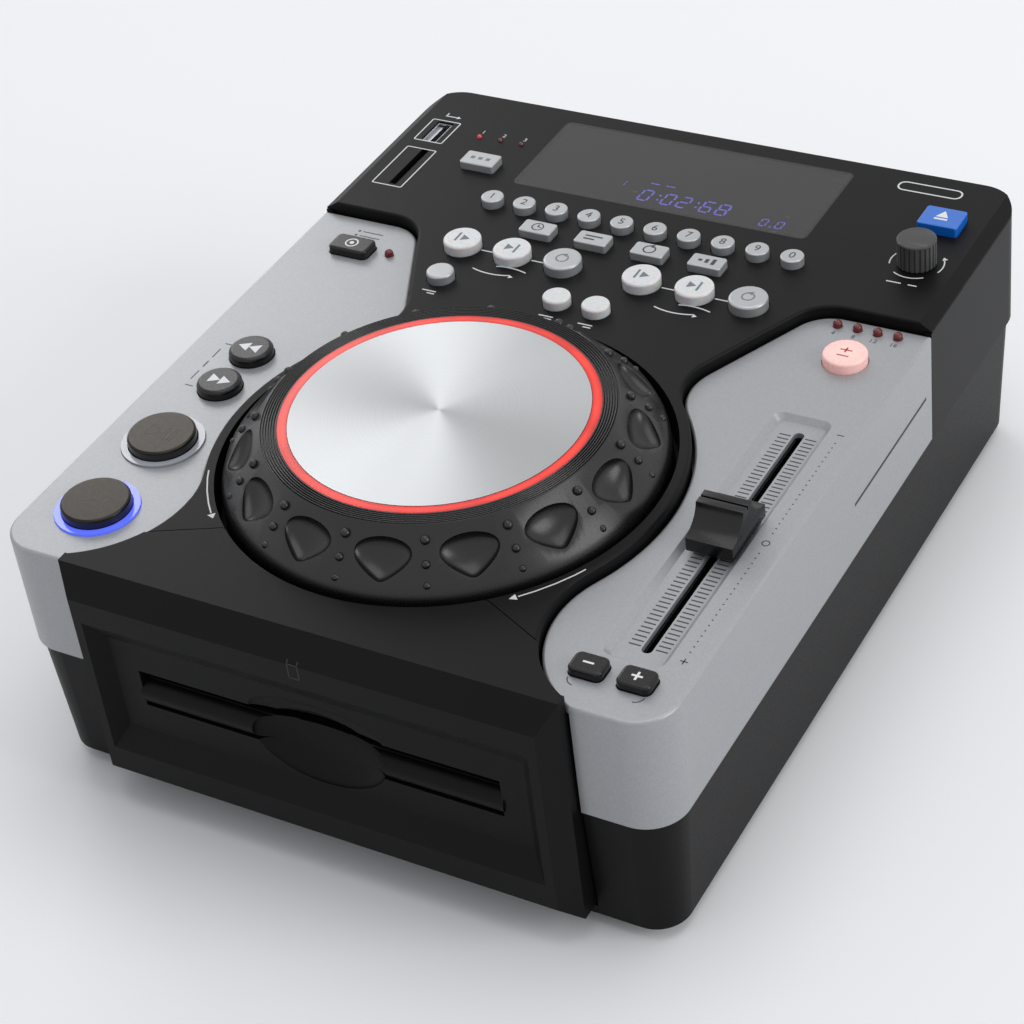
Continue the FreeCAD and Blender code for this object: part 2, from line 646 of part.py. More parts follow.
class Key:
    """A key or button: its name, its place, its outline and how it stands."""

    def __init__(self, label, x, y, surface, rise, radius=None, sides=None, corner=1.0, crown=0.5):
        self.label = label
        self.x = x
        self.y = y
        self.surface = surface
        self.rise = rise
        self.radius = radius
        self.sides = sides
        self.corner = corner
        self.crown = crown

    def make(self):
        """The key at rest: a crowned cap, a flange under the panel and a stem above the switch."""
        piece = Piece(self.label, (self.x, self.y, self.surface))
        under = D.deck_thickness + D.fit_gap
        deep = under + D.key_flange
        if self.radius is not None:
            piece.cylinder("cap", (0, 0, -deep), self.radius, deep + self.rise)
        else:
            length, width = self.sides
            piece.plate("cap", centred(0, 0, float(length), float(width), self.corner),
                        -deep, deep + self.rise)
        piece.rounded("crown", self.crown, lambda edge: lies_at(edge, "Z", self.rise))
        if self.radius is not None:
            piece.cylinder("flange", (0, 0, -deep), self.radius + D.key_flange, D.key_flange)
        else:
            grown = 2 * float(D.key_flange)
            piece.plate("flange", centred(0, 0, float(length) + grown, float(width) + grown, self.corner),
                        -deep, D.key_flange)
        foot = BOARD_Z + D.switch_height + D.key_travel + 0.2 - self.surface
        piece.cylinder("stem", (0, 0, foot), D.key_stem_radius, -deep - foot + 0.1)

    def hole(self):
        """The outline of the key's hole in its panel."""
        if self.radius is not None:
            return circles([(self.x, self.y)], self.radius + D.key_gap)
        grown = 2 * float(D.key_gap)
        length, width = [float(side) + grown for side in self.sides]
        return centred(float(self.x), float(self.y), length, width, self.corner + grown / 2)


def deck_keys():
    keys = []
    for index, digit in enumerate("1234567890"):
        x = D.number_key_first_x + D.number_key_pitch * index
        keys.append(Key(f"number_key_{digit}", x, STEP_Y + D.number_row, DECK_Z,
                        D.number_key_rise, D.number_key_radius))
    for index, name in enumerate(("time_key", "play_mode_key", "repeat_key", "program_key")):
        x = D.bar_key_first_x + D.bar_key_pitch * index
        keys.append(Key(name, x, STEP_Y + D.bar_row, DECK_Z, D.bar_key_rise,
                        sides=(D.bar_key_length, D.bar_key_width)))
    for group, first in ((1, D.loop_left_x), (2, D.loop_right_x)):
        for index, name in enumerate(("loop_in", "loop_out", "reloop")):
            x = first + D.loop_key_pitch * index
            keys.append(Key(f"{name}_{group}", x, STEP_Y - D.loop_row, DECK_Z,
                            D.loop_key_rise, D.loop_key_radius, crown=0.9))
    for name, x in (("tap_key", D.tap_key_x), ("reverse_key", D.reverse_key_x), ("brake_key", D.brake_key_x)):
        keys.append(Key(name, x, STEP_Y - D.small_row, DECK_Z, D.small_key_rise,
                        D.small_key_radius, crown=0.9))
    keys.append(Key("source_key", D.source_key_x, STEP_Y + D.source_row, DECK_Z, D.bar_key_rise,
                    sides=(D.source_key_length, D.source_key_width)))
    keys.append(Key("eject_key", HALF_WIDTH - D.eject_from_side, STEP_Y + D.eject_row, DECK_Z,
                    D.eject_key_rise, sides=(D.eject_key_length, D.eject_key_width)))
    return keys


def left_cover_keys():
    inset = D.search_from_side - HALF_WIDTH
    return [
        Key("jog_mode_key", D.mode_key_from_side - HALF_WIDTH, STEP_Y - D.mode_row, COVER_Z,
            D.mode_key_rise, sides=(D.mode_key_length, D.mode_key_width), corner=2.0, crown=0.9),
        Key("search_back_key", inset, FRONT_Y + D.search_back_row, COVER_Z,
            D.search_key_rise, D.search_key_radius, crown=1.4),
        Key("search_forward_key", inset, FRONT_Y + D.search_forward_row, COVER_Z,
            D.search_key_rise, D.search_key_radius, crown=1.4),
    ]


def main_buttons():
    x = D.main_button_from_side - HALF_WIDTH
    return [
        Key(name, x, FRONT_Y + row, COVER_Z, D.main_button_rise, D.main_button_radius, crown=0.8)
        for name, row in (("cue_button", D.cue_row), ("play_button", D.play_row))
    ]


def right_cover_keys():
    return [
        Key("pitch_button", HALF_WIDTH - D.pitch_button_from_side, STEP_Y - D.pitch_button_row, COVER_Z,
            D.pitch_button_rise, D.pitch_button_radius, crown=0.9),
        Key("pitch_down_key", HALF_WIDTH - D.bend_down_from_side, FRONT_Y + D.bend_key_row, COVER_Z,
            D.bend_key_rise, sides=(D.bend_key_length, D.bend_key_width), corner=2.0, crown=0.9),
        Key("pitch_up_key", HALF_WIDTH - D.bend_up_from_side, FRONT_Y + D.bend_key_row, COVER_Z,
            D.bend_key_rise, sides=(D.bend_key_length, D.bend_key_width), corner=2.0, crown=0.9),
    ]


def lamps():
    """Every lamp as (name, x, y, panel height, radius)."""
    mode_x = D.mode_lamp_from_side - HALF_WIDTH
    found = [("mode_lamp", mode_x, STEP_Y - D.mode_lamp_row, COVER_Z, D.lamp_radius)]
    for index in range(4):
        x = HALF_WIDTH - D.pitch_lamp_from_side + D.pitch_lamp_pitch * index
        found.append((f"pitch_lamp_{index + 1}", x, STEP_Y - D.pitch_lamp_row, COVER_Z, D.lamp_radius))
    for index in range(3):
        x = D.source_lamp_first_x + D.source_lamp_pitch * index
        found.append((f"source_lamp_{index + 1}", x, STEP_Y + D.source_lamp_row, DECK_Z,
                      D.source_lamp_radius))
    return found


def open_holes(piece, keys, lamp_kind, surface, more=()):
    """Cut every hole of a panel in one go: its keys', its lamps' and any others."""
    outlines = list(more)
    for key in keys:
        outlines += key.hole()
    for name, x, y, _surface, radius in lamps():
        if name.startswith(lamp_kind):
            outlines += circles([(x, y)], radius + D.key_gap / 2)
    piece.plate("holes", outlines, surface - D.deck_thickness - 1, D.deck_thickness + 2, cut=True)


def screw_places():
    x = HALF_WIDTH - D.screw_from_side
    return [(side * x, FRONT_Y + row) for side in (-1, 1) for row in (D.screw_front, D.screw_back)]


def make_base_tub():
    """Drafted tub, with walls that rise to the deck round the rear block."""
    tub = Piece("base_tub")
    gap = float(D.fit_gap)
    half, rear = float(HALF_WIDTH), float(REAR_Y)
    front = float(STEP_Y) - 3 * float(D.corner_radius)
    wall, radius = float(D.wall), float(D.corner_radius)
    rim_z = DECK_Z - D.deck_chamfer_drop - 2 * D.fit_gap
    tub.plate("rear_wall", rounded_rectangle((-half, front), (half, rear), radius), SEAM_Z, rim_z - SEAM_Z)
    tub.plate("rear_room", rounded_rectangle((wall - half, front + wall), (half - wall, rear - wall),
                                             radius - wall), SEAM_Z, rim_z - SEAM_Z, cut=True)
    tub.box("cover_room", (-HALF_WIDTH - 1, front - 1, SEAM_Z),
            (2 * HALF_WIDTH + 2, STEP_Y + gap + 1 - front, rim_z - SEAM_Z + 1), cut=True)
    lean = float(D.base_height) * math.tan(math.radians(float(D.base_draft)))
    inset = float(D.base_inset) + lean
    low = (inset - half, float(FRONT_Y) + inset)
    high = (half - inset, rear - inset)
    tub.plate("tub", rounded_rectangle(low, high, radius - lean), BASE_Z, D.base_height, taper=D.base_draft)
    rise = wall * math.tan(math.radians(float(D.base_draft)))
    low = (low[0] + wall - rise, low[1] + wall - rise)
    high = (high[0] - wall + rise, high[1] - wall + rise)
    tub.plate("room", rounded_rectangle(low, high, radius - lean - wall + rise),
              BASE_Z + D.wall, D.base_height - D.wall + gap, cut=True, taper=D.base_draft)
    mouth = D.bezel_half_width + 2 * D.fit_gap
    tub.box("bezel_room", (-mouth, FACE_Y, BEZEL_Z - 1), (2 * mouth, D.bezel_reach + 3, D.base_height),
            cut=True)
    bay = D.rear_bay_half_width + D.fit_gap
    tub.box("socket_bay_hole", (-bay, REAR_Y - D.wall - 1, SEAM_Z + D.rear_bay_bottom - D.fit_gap),
            (2 * bay, D.wall + 2, D.rear_bay_height + 2 * D.fit_gap), cut=True)
    add_tub_posts(tub)


def add_tub_posts(tub):
    """Posts that the screws pass and that carry the drive and the boards."""
    floor_z = BASE_Z + D.wall
    screws = screw_places()
    tub.plate("screw_posts", circles(screws, 3 * D.screw_radius), floor_z - 0.5, D.base_height - D.wall - 0.5)
    tub.plate("screw_bores", circles(screws, D.screw_radius + D.fit_gap), BASE_Z - 1, D.base_height + 1,
              cut=True)
    tub.plate("screw_seats", circles(screws, 2 * D.screw_radius + D.fit_gap), BASE_Z - 1, 3.5, cut=True)
    tub.plate("drive_posts", circles(drive_post_places(), 4), floor_z - 0.5, DRIVE_Z - floor_z + 0.5)
    tub.plate("board_posts", circles(board_post_places(), 3), floor_z - 0.5,
              D.main_board_height - D.wall + 0.5)


def drive_post_places():
    x = DRIVE_HALF_WIDTH - 8
    return [(side * x, DRIVE_Y + along) for side in (-1, 1) for along in (22, DRIVE_LENGTH - 12)]


class Board:
    """A flat board in the tub: its left and right edge, and its front and rear edge from the step."""

    def __init__(self, left, right, front, rear):
        self.left = left
        self.right = right
        self.front = front
        self.rear = rear

    def posts(self):
        inset = 5
        return [(x, STEP_Y + y) for x in (self.left + inset, self.right - inset)
                for y in (self.front + inset, self.rear - inset)]

    def make(self, label, parts):
        """The board on the tub's posts, with blocks on it as (name, x, y, length, width, height)."""
        piece = Piece(label)
        low = BASE_Z + D.main_board_height
        piece.box("board", (self.left, STEP_Y + self.front, low),
                  (self.right - self.left, self.rear - self.front, D.board_thickness))
        top = low + D.board_thickness - 0.1
        for name, x, y, length, width, height in parts:
            piece.box(name, (self.left + x, STEP_Y + self.front + y, top), (length, width, height))
        return piece, top


MAIN_BOARD = Board(-95.0, 18.0, -28.0, 50.0)
SUPPLY_BOARD = Board(30.0, 95.0, -20.0, 50.0)


def board_post_places():
    return MAIN_BOARD.posts() + SUPPLY_BOARD.posts()


def make_side_cover(side, label, keys, more=()):
    """Painted cover: a top plate on an outer wall and a front wall, open towards the deck."""
    cover = Piece(label)
    half, front = float(HALF_WIDTH), float(FRONT_Y)
    wall = float(D.wall)
    cover.plate("cover", side_cover_outline(side), SEAM_Z, D.cover_height)
    cover.rounded("top_edge", D.edge_round, lambda edge: lies_at(edge, "Z", COVER_Z))
    room = rounded_rectangle((0, front + wall), (half - wall, float(STEP_Y) + 20), D.corner_radius - D.wall)
    cover.plate("room", room if side > 0 else mirrored(room), SEAM_Z - 1,
                D.cover_height + 1 - D.deck_thickness, cut=True)
    mouth = D.bezel_half_width + D.panel_gap
    cover.box("bezel_room", (0 if side > 0 else -mouth, FRONT_Y - 1, SEAM_Z - 1),
              (mouth, D.wall + 2, D.cover_height + 1 - D.deck_thickness), cut=True)
    for x, y in screw_places():
        if float(x) * side > 0:
            name = "rear_post" if float(y) > float(JOG_Y) else "front_post"
            length = COVER_Z - SEAM_Z - D.deck_thickness + 1
            cover.cylinder(name, (x, y, SEAM_Z), 3 * D.screw_radius, length)
            cover.cylinder(name + "_bore", (x, y, SEAM_Z - 1), D.screw_radius + D.bearing_gap, 20, cut=True)
    open_holes(cover, keys, "pitch" if side > 0 else "mode", COVER_Z, more)
    return cover


def make_left_side_cover():
    outer = D.main_button_radius + D.key_gap + D.light_ring_width + D.fit_gap / 2
    rings = circles([(button.x, button.y) for button in main_buttons()], outer)
    make_side_cover(-1, "left_side_cover", left_cover_keys(), rings)


def make_right_side_cover():
    cover = make_side_cover(1, "right_side_cover", right_cover_keys())
    x = HALF_WIDTH - D.fader_recess_from_side
    depth, length, width = D.fader_recess_depth, D.fader_recess_length, D.fader_recess_width
    floor = D.deck_thickness - 0.7
    low = COVER_Z - depth - floor
    cover.box("recess_backing", (x - width / 2 - 1, JOG_Y - length / 2 - 1, low),
              (width + 2, length + 2, depth))
    plan = centred(float(x), float(JOG_Y), float(width - 2 * depth), float(length - 2 * depth), 1.5)
    cover.plate("recess", plan, COVER_Z - depth, depth + 0.05, cut=True, taper=45)
    slot_x = HALF_WIDTH - D.fader_from_side
    slot = centred(float(slot_x), float(JOG_Y), float(D.fader_slot_width), float(D.fader_slot_length), 1.5)
    cover.plate("slot", slot, low - 1, depth + floor + 2, cut=True)


def make_control_deck(keys):
    """Black top moulding with the jog well, its post and the key holes."""
    deck = Piece("control_deck")
    end_y = float(FACE_Y + D.bezel_reach + 1)
    gap, wall = float(D.panel_gap), float(D.wall)
    skirt_z = DECK_Z - D.deck_skirt
    deck.plate("deck", deck_outline(gap, 0, end_y), skirt_z, D.deck_skirt)
    cut_side_chamfers(deck)
    deck.rounded("step_edge", D.edge_round, is_step_edge)
    deck.plate("underside", deck_outline(gap + wall, wall + gap, end_y + wall), skirt_z - 1,
               D.deck_skirt + 1 - D.deck_thickness, cut=True)
    rim = float(D.wall + D.fit_gap)
    cut_rim_seat(deck, rim, skirt_z)
    deck.cylinder("well_wall", (0, JOG_Y, WELL_Z - D.well_wall), D.well_radius + D.well_wall,
                  D.well_depth + D.well_wall - D.edge_round)
    deck.cylinder("well", (0, JOG_Y, WELL_Z), D.well_radius, D.well_depth + 1, cut=True)
    deck.cylinder("jog_post", (0, JOG_Y, WELL_Z - 1), D.jog_post_radius, D.well_depth + D.jog_rise - 2)
    deck.plate("apron_room", apron_region(float(D.fit_gap)), DECK_Z - D.apron_skirt - D.fit_gap,
               D.apron_skirt + 2, cut=True)
    seat_window(deck)
    deck.plate("board_posts", circles(deck_post_places(), 3), BOARD_Z, DECK_Z - BOARD_Z - 1)
    knob_hole = circles([knob_place()], D.knob_shaft_radius + D.fit_gap)
    open_holes(deck, keys, "source", DECK_Z, media_slots() + knob_hole)


def is_step_edge(edge):
    box = edge.BoundBox
    behind = float(STEP_Y) + float(D.panel_gap) + 1
    return lies_at(edge, "Z", DECK_Z) and box.YMax < behind and box.YMin > float(FACE_Y + D.bezel_reach + 2)


def cut_side_chamfers(deck):
    """Bevel the rear block's sides, with frustums that stand upright."""
    upright = Rotation(Vector(1, 0, 0), 90)
    outside = HALF_WIDTH + 1
    ends = (-REAR_Y - 1, -STEP_Y)
    foot = DECK_Z - D.deck_chamfer_drop
    inner = HALF_WIDTH - D.deck_chamfer_width
    deck.wedge("right_chamfer", (HALF_WIDTH, outside, *ends), (inner, outside, *ends), foot, DECK_Z,
               cut=True, turn=upright)
    deck.wedge("left_chamfer", (-outside, -HALF_WIDTH, *ends), (-outside, -inner, *ends), foot, DECK_Z,
               cut=True, turn=upright)


def cut_rim_seat(deck, rim, skirt_z):
    """Cut the rear block's skirt back by the rim's width, so that the tub's walls pass below it."""
    height = DECK_Z - D.deck_chamfer_drop - D.fit_gap - skirt_z + 1
    low = skirt_z - 1
    behind = D.rear_block_depth + 3
    deck.box("left_seat", (-HALF_WIDTH - 1, STEP_Y - 1, low), (rim + 1, behind, height), cut=True)
    deck.box("right_seat", (HALF_WIDTH - rim, STEP_Y - 1, low), (rim + 1, behind, height), cut=True)
    deck.box("rear_seat", (-HALF_WIDTH - 1, REAR_Y - rim - D.corner_radius, low),
             (2 * HALF_WIDTH + 2, D.corner_radius + 4, height), cut=True)


def apron_line(offset):
    """Start and direction of the right-hand seam behind the bezel's apron, moved back by offset."""
    fall = math.radians(float(D.apron_seam_fall))
    start = (float(D.apron_seam_x) + offset * math.sin(fall),
             float(FRONT_Y + D.apron_seam_from_front) + offset * math.cos(fall))
    return start, (math.cos(fall), -math.sin(fall))


def apron_region(offset):
    """Everything ahead of the apron's rear seam, grown by offset."""
    start, direction = apron_line(offset)
    far = float(HALF_WIDTH)
    run = (far - start[0]) / direction[0]
    side = (far, start[1] + run * direction[1])
    front = float(FACE_Y) - 5
    corners = [(-far, front), (far, front), side, start, (-start[0], start[1]), (-far, side[1])]
    return [segment(corners[i], corners[(i + 1) % len(corners)]) for i in range(len(corners))]


def knob_place():
    return (HALF_WIDTH - D.knob_from_side, STEP_Y + D.knob_row)


def media_slots():
    """Outlines of the two slots on the left of the deck."""
    gap = 2 * D.fit_gap
    return (square(D.usb_from_side - HALF_WIDTH, STEP_Y + D.usb_row, D.usb_width + gap, D.usb_length + gap)
            + square(D.card_from_side - HALF_WIDTH, STEP_Y + D.card_row, D.card_width, D.card_length))


def window_plan(grown, corner):
    y = STEP_Y + D.window_row + D.window_depth / 2
    return centred(0, float(y), float(2 * D.window_half_width) + grown, float(D.window_depth) + grown, corner)


def seat_window(deck):
    """A pocket for the display window and a smaller opening under it."""
    depth = D.window_thickness + D.bearing_gap
    ledge = D.window_ledge
    deck.plate("window_rim", window_plan(2 * float(ledge), 3), DECK_Z - D.window_thickness - 1.5, 2.0)
    deck.plate("window_seat", window_plan(2 * float(D.bearing_gap), 2.5), DECK_Z - depth, depth + 1, cut=True)
    deck.plate("window_opening", window_plan(-2 * float(ledge), 1.5), DECK_Z - 8, 9, cut=True)


def deck_post_places():
    rear = REAR_Y - 10
    return [(-HALF_WIDTH + 10, rear), (HALF_WIDTH - 10, rear), (-62, STEP_Y + 2), (64, STEP_Y + 2)]


def make_front_bezel():
    """Bevelled black front with the disc slot, and the apron that reaches back to the jog well."""
    bezel = Piece("front_bezel")
    half, side = D.bezel_half_width, D.bezel_side_bevel
    face = (side - half, half - side, BEZEL_Z + D.bezel_bottom_bevel, DECK_Z - D.bezel_top_bevel)
    bezel.wedge("bevels", face, (-half, half, BEZEL_Z, DECK_Z), FACE_Y, BEVEL_Y)
    bezel.box("walls", (-half, BEVEL_Y, BEZEL_Z),
              (2 * half, D.bezel_reach - D.bezel_bevel_depth, DECK_Z - BEZEL_Z - D.edge_round))
    back_y = FLOOR_Y + D.bezel_floor
    bezel.box("room", (-half + D.wall, back_y, BEZEL_Z + D.wall),
              (2 * (half - D.wall), D.bezel_reach, DECK_Z - BEZEL_Z - D.wall - D.apron_skirt), cut=True)
    bezel.box("roof_gap", (-half - 1, BEVEL_Y + 0.01, DECK_Z - D.apron_skirt),
              (2 * half + 2, D.bezel_reach, D.apron_skirt + 1), cut=True)
    for name, x in (("left_cover_room", -half - 1), ("right_cover_room", half - D.wall - 1)):
        bezel.box(name, (x, FRONT_Y - D.fit_gap, COVER_Z - D.deck_thickness - D.fit_gap),
                  (D.wall + 2, D.bezel_reach, D.wall), cut=True)
    add_apron(bezel)
    recess_low = BEZEL_Z + D.recess_rise
    width, slope = D.recess_half_width, D.recess_side_slope
    bezel.wedge("recess", (-width, width, recess_low, recess_low + D.recess_height),
                (slope - width, width - slope, recess_low + D.recess_slope,
                 recess_low + D.recess_height - D.recess_slope), FACE_Y, FLOOR_Y, cut=True)
    cut_disc_slot(bezel, back_y)


def add_apron(bezel):
    seam = Seam(D.panel_gap)
    start, direction = apron_line(0)
    lobe_start = seam.lobe_on_line(start, direction)
    lobe_end = seam.lobe_at(seam.front)
    front = float(BEVEL_Y)
    half = float(D.bezel_half_width)
    chain = [segment(start, lobe_start), arc(seam.lobe, lobe_start, lobe_end)]
    chain += [segment(lobe_end, (half, seam.front)), segment((half, seam.front), (half, front))]
    plan = chain + mirrored(chain)
    plan += [segment((half, front), (-half, front)), segment(start, (-start[0], start[1]))]
    bezel.plate("apron", plan, DECK_Z - D.apron_skirt, D.apron_skirt)
    bezel.cylinder("well_edge", (0, JOG_Y, DECK_Z - D.apron_skirt - 1), D.well_radius, D.apron_skirt + 2,
                   cut=True)


def cut_disc_slot(bezel, back_y):
    """Pocket with a half-round lip, the slit above it, and the scoop for a finger and thumb."""
    half = SLOT_HALF_WIDTH
    top = SLIT_Z + D.slot_opening
    pocket_low = top - D.slot_opening - D.lip_height
    backing = D.scoop_half_width + 4
    bezel.box("scoop_backing", (-backing, back_y - 1, pocket_low - 8), (2 * backing, 4, D.lip_height + 7.5))
    bezel.box("lip_pocket", (-half, FLOOR_Y - 1, pocket_low), (2 * half, D.lip_recess + 1, top - pocket_low),
              cut=True)
    lip_y, lip_z = FLOOR_Y + D.lip_recess + 0.4, SLIT_Z - D.lip_height / 2 - 0.3
    bezel.cylinder("lip", (-half - 0.5, lip_y, lip_z), D.lip_height / 2 - 0.3, 2 * half + 1, axis="X")
    bezel.box("slit", (-half, FACE_Y, SLIT_Z), (2 * half, 20, D.slot_opening), cut=True)
    bezel.ellipsoid("finger_scoop", (0.5, FLOOR_Y - 0.5, SLIT_Z - 5.2),
                    (D.scoop_half_width, D.scoop_depth, D.scoop_half_height), cut=True)
    bezel.ellipsoid("thumb_relief", (0.5, FLOOR_Y, SLIT_Z + D.slot_opening),
                    (D.scoop_half_width, D.thumb_relief_depth, D.thumb_relief_height), cut=True)


def make_display():
    window = Piece("display_window")
    window.plate("pane", window_plan(0, 2.4), DECK_Z - D.window_thickness, D.window_thickness)
    module = Piece("display_module")
    inset = -2 * float(D.window_ledge) - 2
    top = DECK_Z - D.window_thickness - D.fit_gap
    module.plate("case", window_plan(inset, 1.0), BOARD_Z, top - BOARD_Z)


def make_control_board():
    """Board under the deck and both covers, with a switch below every key."""
    board = Piece("control_board")
    half = HALF_WIDTH - D.wall - 3
    front = FRONT_Y + 10
    low = BOARD_Z - D.board_thickness
    board.box("board", (-half, front, low),
              (2 * half, REAR_Y - D.rear_bay_depth - 2 - front, D.board_thickness))
    board.cylinder("well_room", (0, JOG_Y, low - 1), D.well_radius + D.well_wall + 1, D.board_thickness + 2,
                   cut=True)
    room = D.well_radius + D.well_wall + 1
    board.box("front_room", (-room, front - 1, low - 1), (2 * room, JOG_Y - front + 1, D.board_thickness + 2),
              cut=True)
    board.plate("post_rooms", circles(screw_places(), 3 * D.screw_radius + 1), low - 1, D.board_thickness + 2,
                cut=True)
    usb_x = D.usb_from_side - HALF_WIDTH
    card_y = STEP_Y + D.card_row - D.card_length / 2 - 4
    board.box("media_room", (usb_x - 9, card_y, low - 1), (20, STEP_Y + D.usb_row + 12 - card_y, 4), cut=True)
    switches = []
    for key in all_keys():
        switches += square(key.x, key.y, D.switch_side, D.switch_side)
    board.plate("switches", switches, BOARD_Z - 0.1, D.switch_height + 0.1)
    knob_x, knob_y = knob_place()
    board.box("encoder", (knob_x - 6, knob_y - 6, BOARD_Z - 0.1), (12, 12, 6))
    board.cylinder("encoder_bore", (knob_x, knob_y, BOARD_Z + 1), D.knob_shaft_radius + D.bearing_gap, 8,
                   cut=True)


def all_keys():
    return deck_keys() + left_cover_keys() + main_buttons() + right_cover_keys()


def make_jog():
    """Wheel on the deck's post, with its light ring and its disc."""
    wheel = Piece("jog_wheel", (0, JOG_Y, DECK_Z))
    wheel.turned("shell", jog_profile())
    slope = Rotation(Vector(0, 1, 0), 45)
    tilt = Rotation(Vector(0, 0, 1), float(D.dimple_phase)).multiply(slope)
    angle = math.radians(float(D.dimple_phase))
    centre = (D.dimple_radius * math.cos(angle), D.dimple_radius * math.sin(angle), D.dimple_rise)
    radii = (D.dimple_length, D.dimple_width, D.dimple_depth)
    dimple = wheel.ellipsoid("dimple", centre, radii, cut=True, turn=tilt)
    wheel.around("dimples", dimple, D.dimple_count)
    add_jog_bumps(wheel)
    ring = Piece("jog_light_ring", (0, JOG_Y, DECK_Z))
    ring.cylinder("ring", (0, 0, D.jog_rise - D.jog_ring_height), D.jog_light_radius, D.jog_ring_height)
    ring.cylinder("middle", (0, 0, D.jog_rise - 3), D.jog_disc_radius + D.fit_gap / 2, 4, cut=True)
    disc = Piece("jog_disc", (0, JOG_Y, DECK_Z))
    disc.cylinder("disc", (0, 0, D.jog_rise - D.jog_disc_thickness + 0.1), D.jog_disc_radius,
                  D.jog_disc_thickness)


def jog_profile():
    """Half section: hub, web under the disc, grooved rim, slanted skirt and its hollow inside."""
    top = float(D.jog_rise)
    foot = float(D.jog_clearance - D.well_depth)
    bore = float(D.jog_post_radius + D.bearing_gap)
    seat = float(D.jog_light_radius) + float(D.fit_gap) / 2
    rim = float(D.jog_rim_radius)
    skirt, outer = float(D.jog_skirt_radius), float(D.jog_foot_radius)
    wall = float(D.jog_wall)
    web = top - float(D.jog_ring_height) - 0.1
    points = [(bore, foot), (bore, web), (seat, web), (seat, top)]
    pitch = (rim - 1 - seat) / float(D.jog_grooves)
    for index in range(int(float(D.jog_grooves))):
        start = seat + 0.4 + pitch * index
        points += [(start, top), (start + 0.25, top - 0.45), (start + 0.5, top)]
    points += [(rim - 0.6, top), (rim, top - 0.6)]
    shoulder = (rim + float(D.skirt_shoulder_reach), top - float(D.skirt_shoulder_drop))
    points += [shoulder, (skirt - 1.2, 3.0), (skirt, 0.0), (outer, foot)]
    points += [(outer - wall, foot), (skirt - wall, -1.0), (shoulder[0] - wall, shoulder[1] - wall),
               (rim - wall, web - wall), (bore + 4, web - wall), (bore + 4, foot)]
    return [segment(points[i], points[(i + 1) % len(points)]) for i in range(len(points))]


def add_jog_bumps(wheel):
    """Three grip bumps in a row down the skirt, midway between dimples."""
    angle = math.radians(float(D.dimple_phase) + 180 / float(D.dimple_count))
    for row in range(3):
        reach = D.jog_rim_radius + D.bump_row_start + D.bump_spacing * row
        rise = D.jog_rise - D.bump_row_start - D.bump_spacing * row - 0.3
        centre = (reach * math.cos(angle), reach * math.sin(angle), rise)
        bump = wheel.feature("Sphere", f"bump_{row + 1}", at=centre, Radius=D.bump_radius - 0.15 * row)
        wheel.around(f"bumps_{row + 1}", bump, D.dimple_count)


def make_knob():
    """Fluted knob on a shaft that runs in the encoder."""
    knob = Piece("track_knob", (*knob_place(), DECK_Z))
    lift = D.fit_gap + 0.1
    crown = 0.6
    knob.cylinder("grip", (0, 0, lift), D.knob_radius, D.knob_rise - lift)
    knob.rounded("crown", crown, lambda edge: lies_at(edge, "Z", D.knob_rise))
    flute = knob.cylinder("flute", (D.knob_radius + 0.2, 0, lift - 1), 0.5, D.knob_rise, cut=True)
    knob.around("flutes", flute, D.knob_flutes)
    foot = BOARD_Z + D.board_thickness - DECK_Z
    knob.cylinder("shaft", (0, 0, foot), D.knob_shaft_radius, lift + crown - foot)


def make_fader():
    """Cap with finger steps on a blade, and the slide potentiometer that it runs in."""
    x = HALF_WIDTH - D.fader_from_side
    knob = Piece("fader_knob", (x, JOG_Y, COVER_Z))
    width, length = D.fader_cap_width, D.fader_cap_length
    low = D.fit_gap
    flange = D.fader_cap_rise / 3
    knob.box("flange", (-width / 2, -length / 2, low), (width, length, flange - low))
    knob.rounded("flange_corners", 1.5, is_upright)
    ridge = width - 1.6
    steps = 4
    rise = (D.fader_cap_rise - flange) / steps
    for index in range(steps):
        run = (length - 5.0) * (1 - index / steps)
        knob.box(f"step_{index + 1}", (-ridge / 2, -run / 2, flange + rise * index - 0.1),
                 (ridge, run, rise + 0.1))
    body_top = COVER_Z - D.deck_thickness - D.fader_recess_depth + 0.7 - D.fit_gap
    foot = BOARD_Z + 2 - COVER_Z
    knob.box("blade", (-D.fader_stem_width / 2, -D.fader_stem_length / 2, foot),
             (D.fader_stem_width, D.fader_stem_length, low + 1 - foot))
    body = Piece("fader_body")
    wide, long = D.fader_body_width, D.fader_body_length
    body.box("case", (x - wide / 2, JOG_Y - long / 2, BOARD_Z), (wide, long, body_top - BOARD_Z))
    run = D.fader_travel + D.fader_stem_length + 1
    groove = D.fader_stem_width + 0.6
    body.box("groove", (x - groove / 2, JOG_Y - run / 2, BOARD_Z + 1.5), (groove, run, 20), cut=True)


def make_button_light_rings():
    rings = Piece("button_light_rings")
    low = BOARD_Z + 2
    for button in main_buttons():
        outer = button.radius + D.key_gap + D.light_ring_width
        rings.cylinder(button.label + "_ring", (button.x, button.y, low), outer, COVER_Z + 0.7 - low)
        rings.cylinder(button.label + "_middle", (button.x, button.y, low - 1), button.radius + D.key_gap,
                       COVER_Z + 2 - low, cut=True)
        flange = button.radius + D.key_flange + D.key_gap
        rings.cylinder(button.label + "_flange_room", (button.x, button.y, low - 1), flange,
                       COVER_Z - D.deck_thickness - low + 1, cut=True)
        reach = button.radius + D.key_gap + D.light_ring_width / 2
        legs = circles([(button.x - reach, button.y), (button.x + reach, button.y)], 0.8)
        rings.plate(button.label + "_legs", legs, BOARD_Z, 2.5)


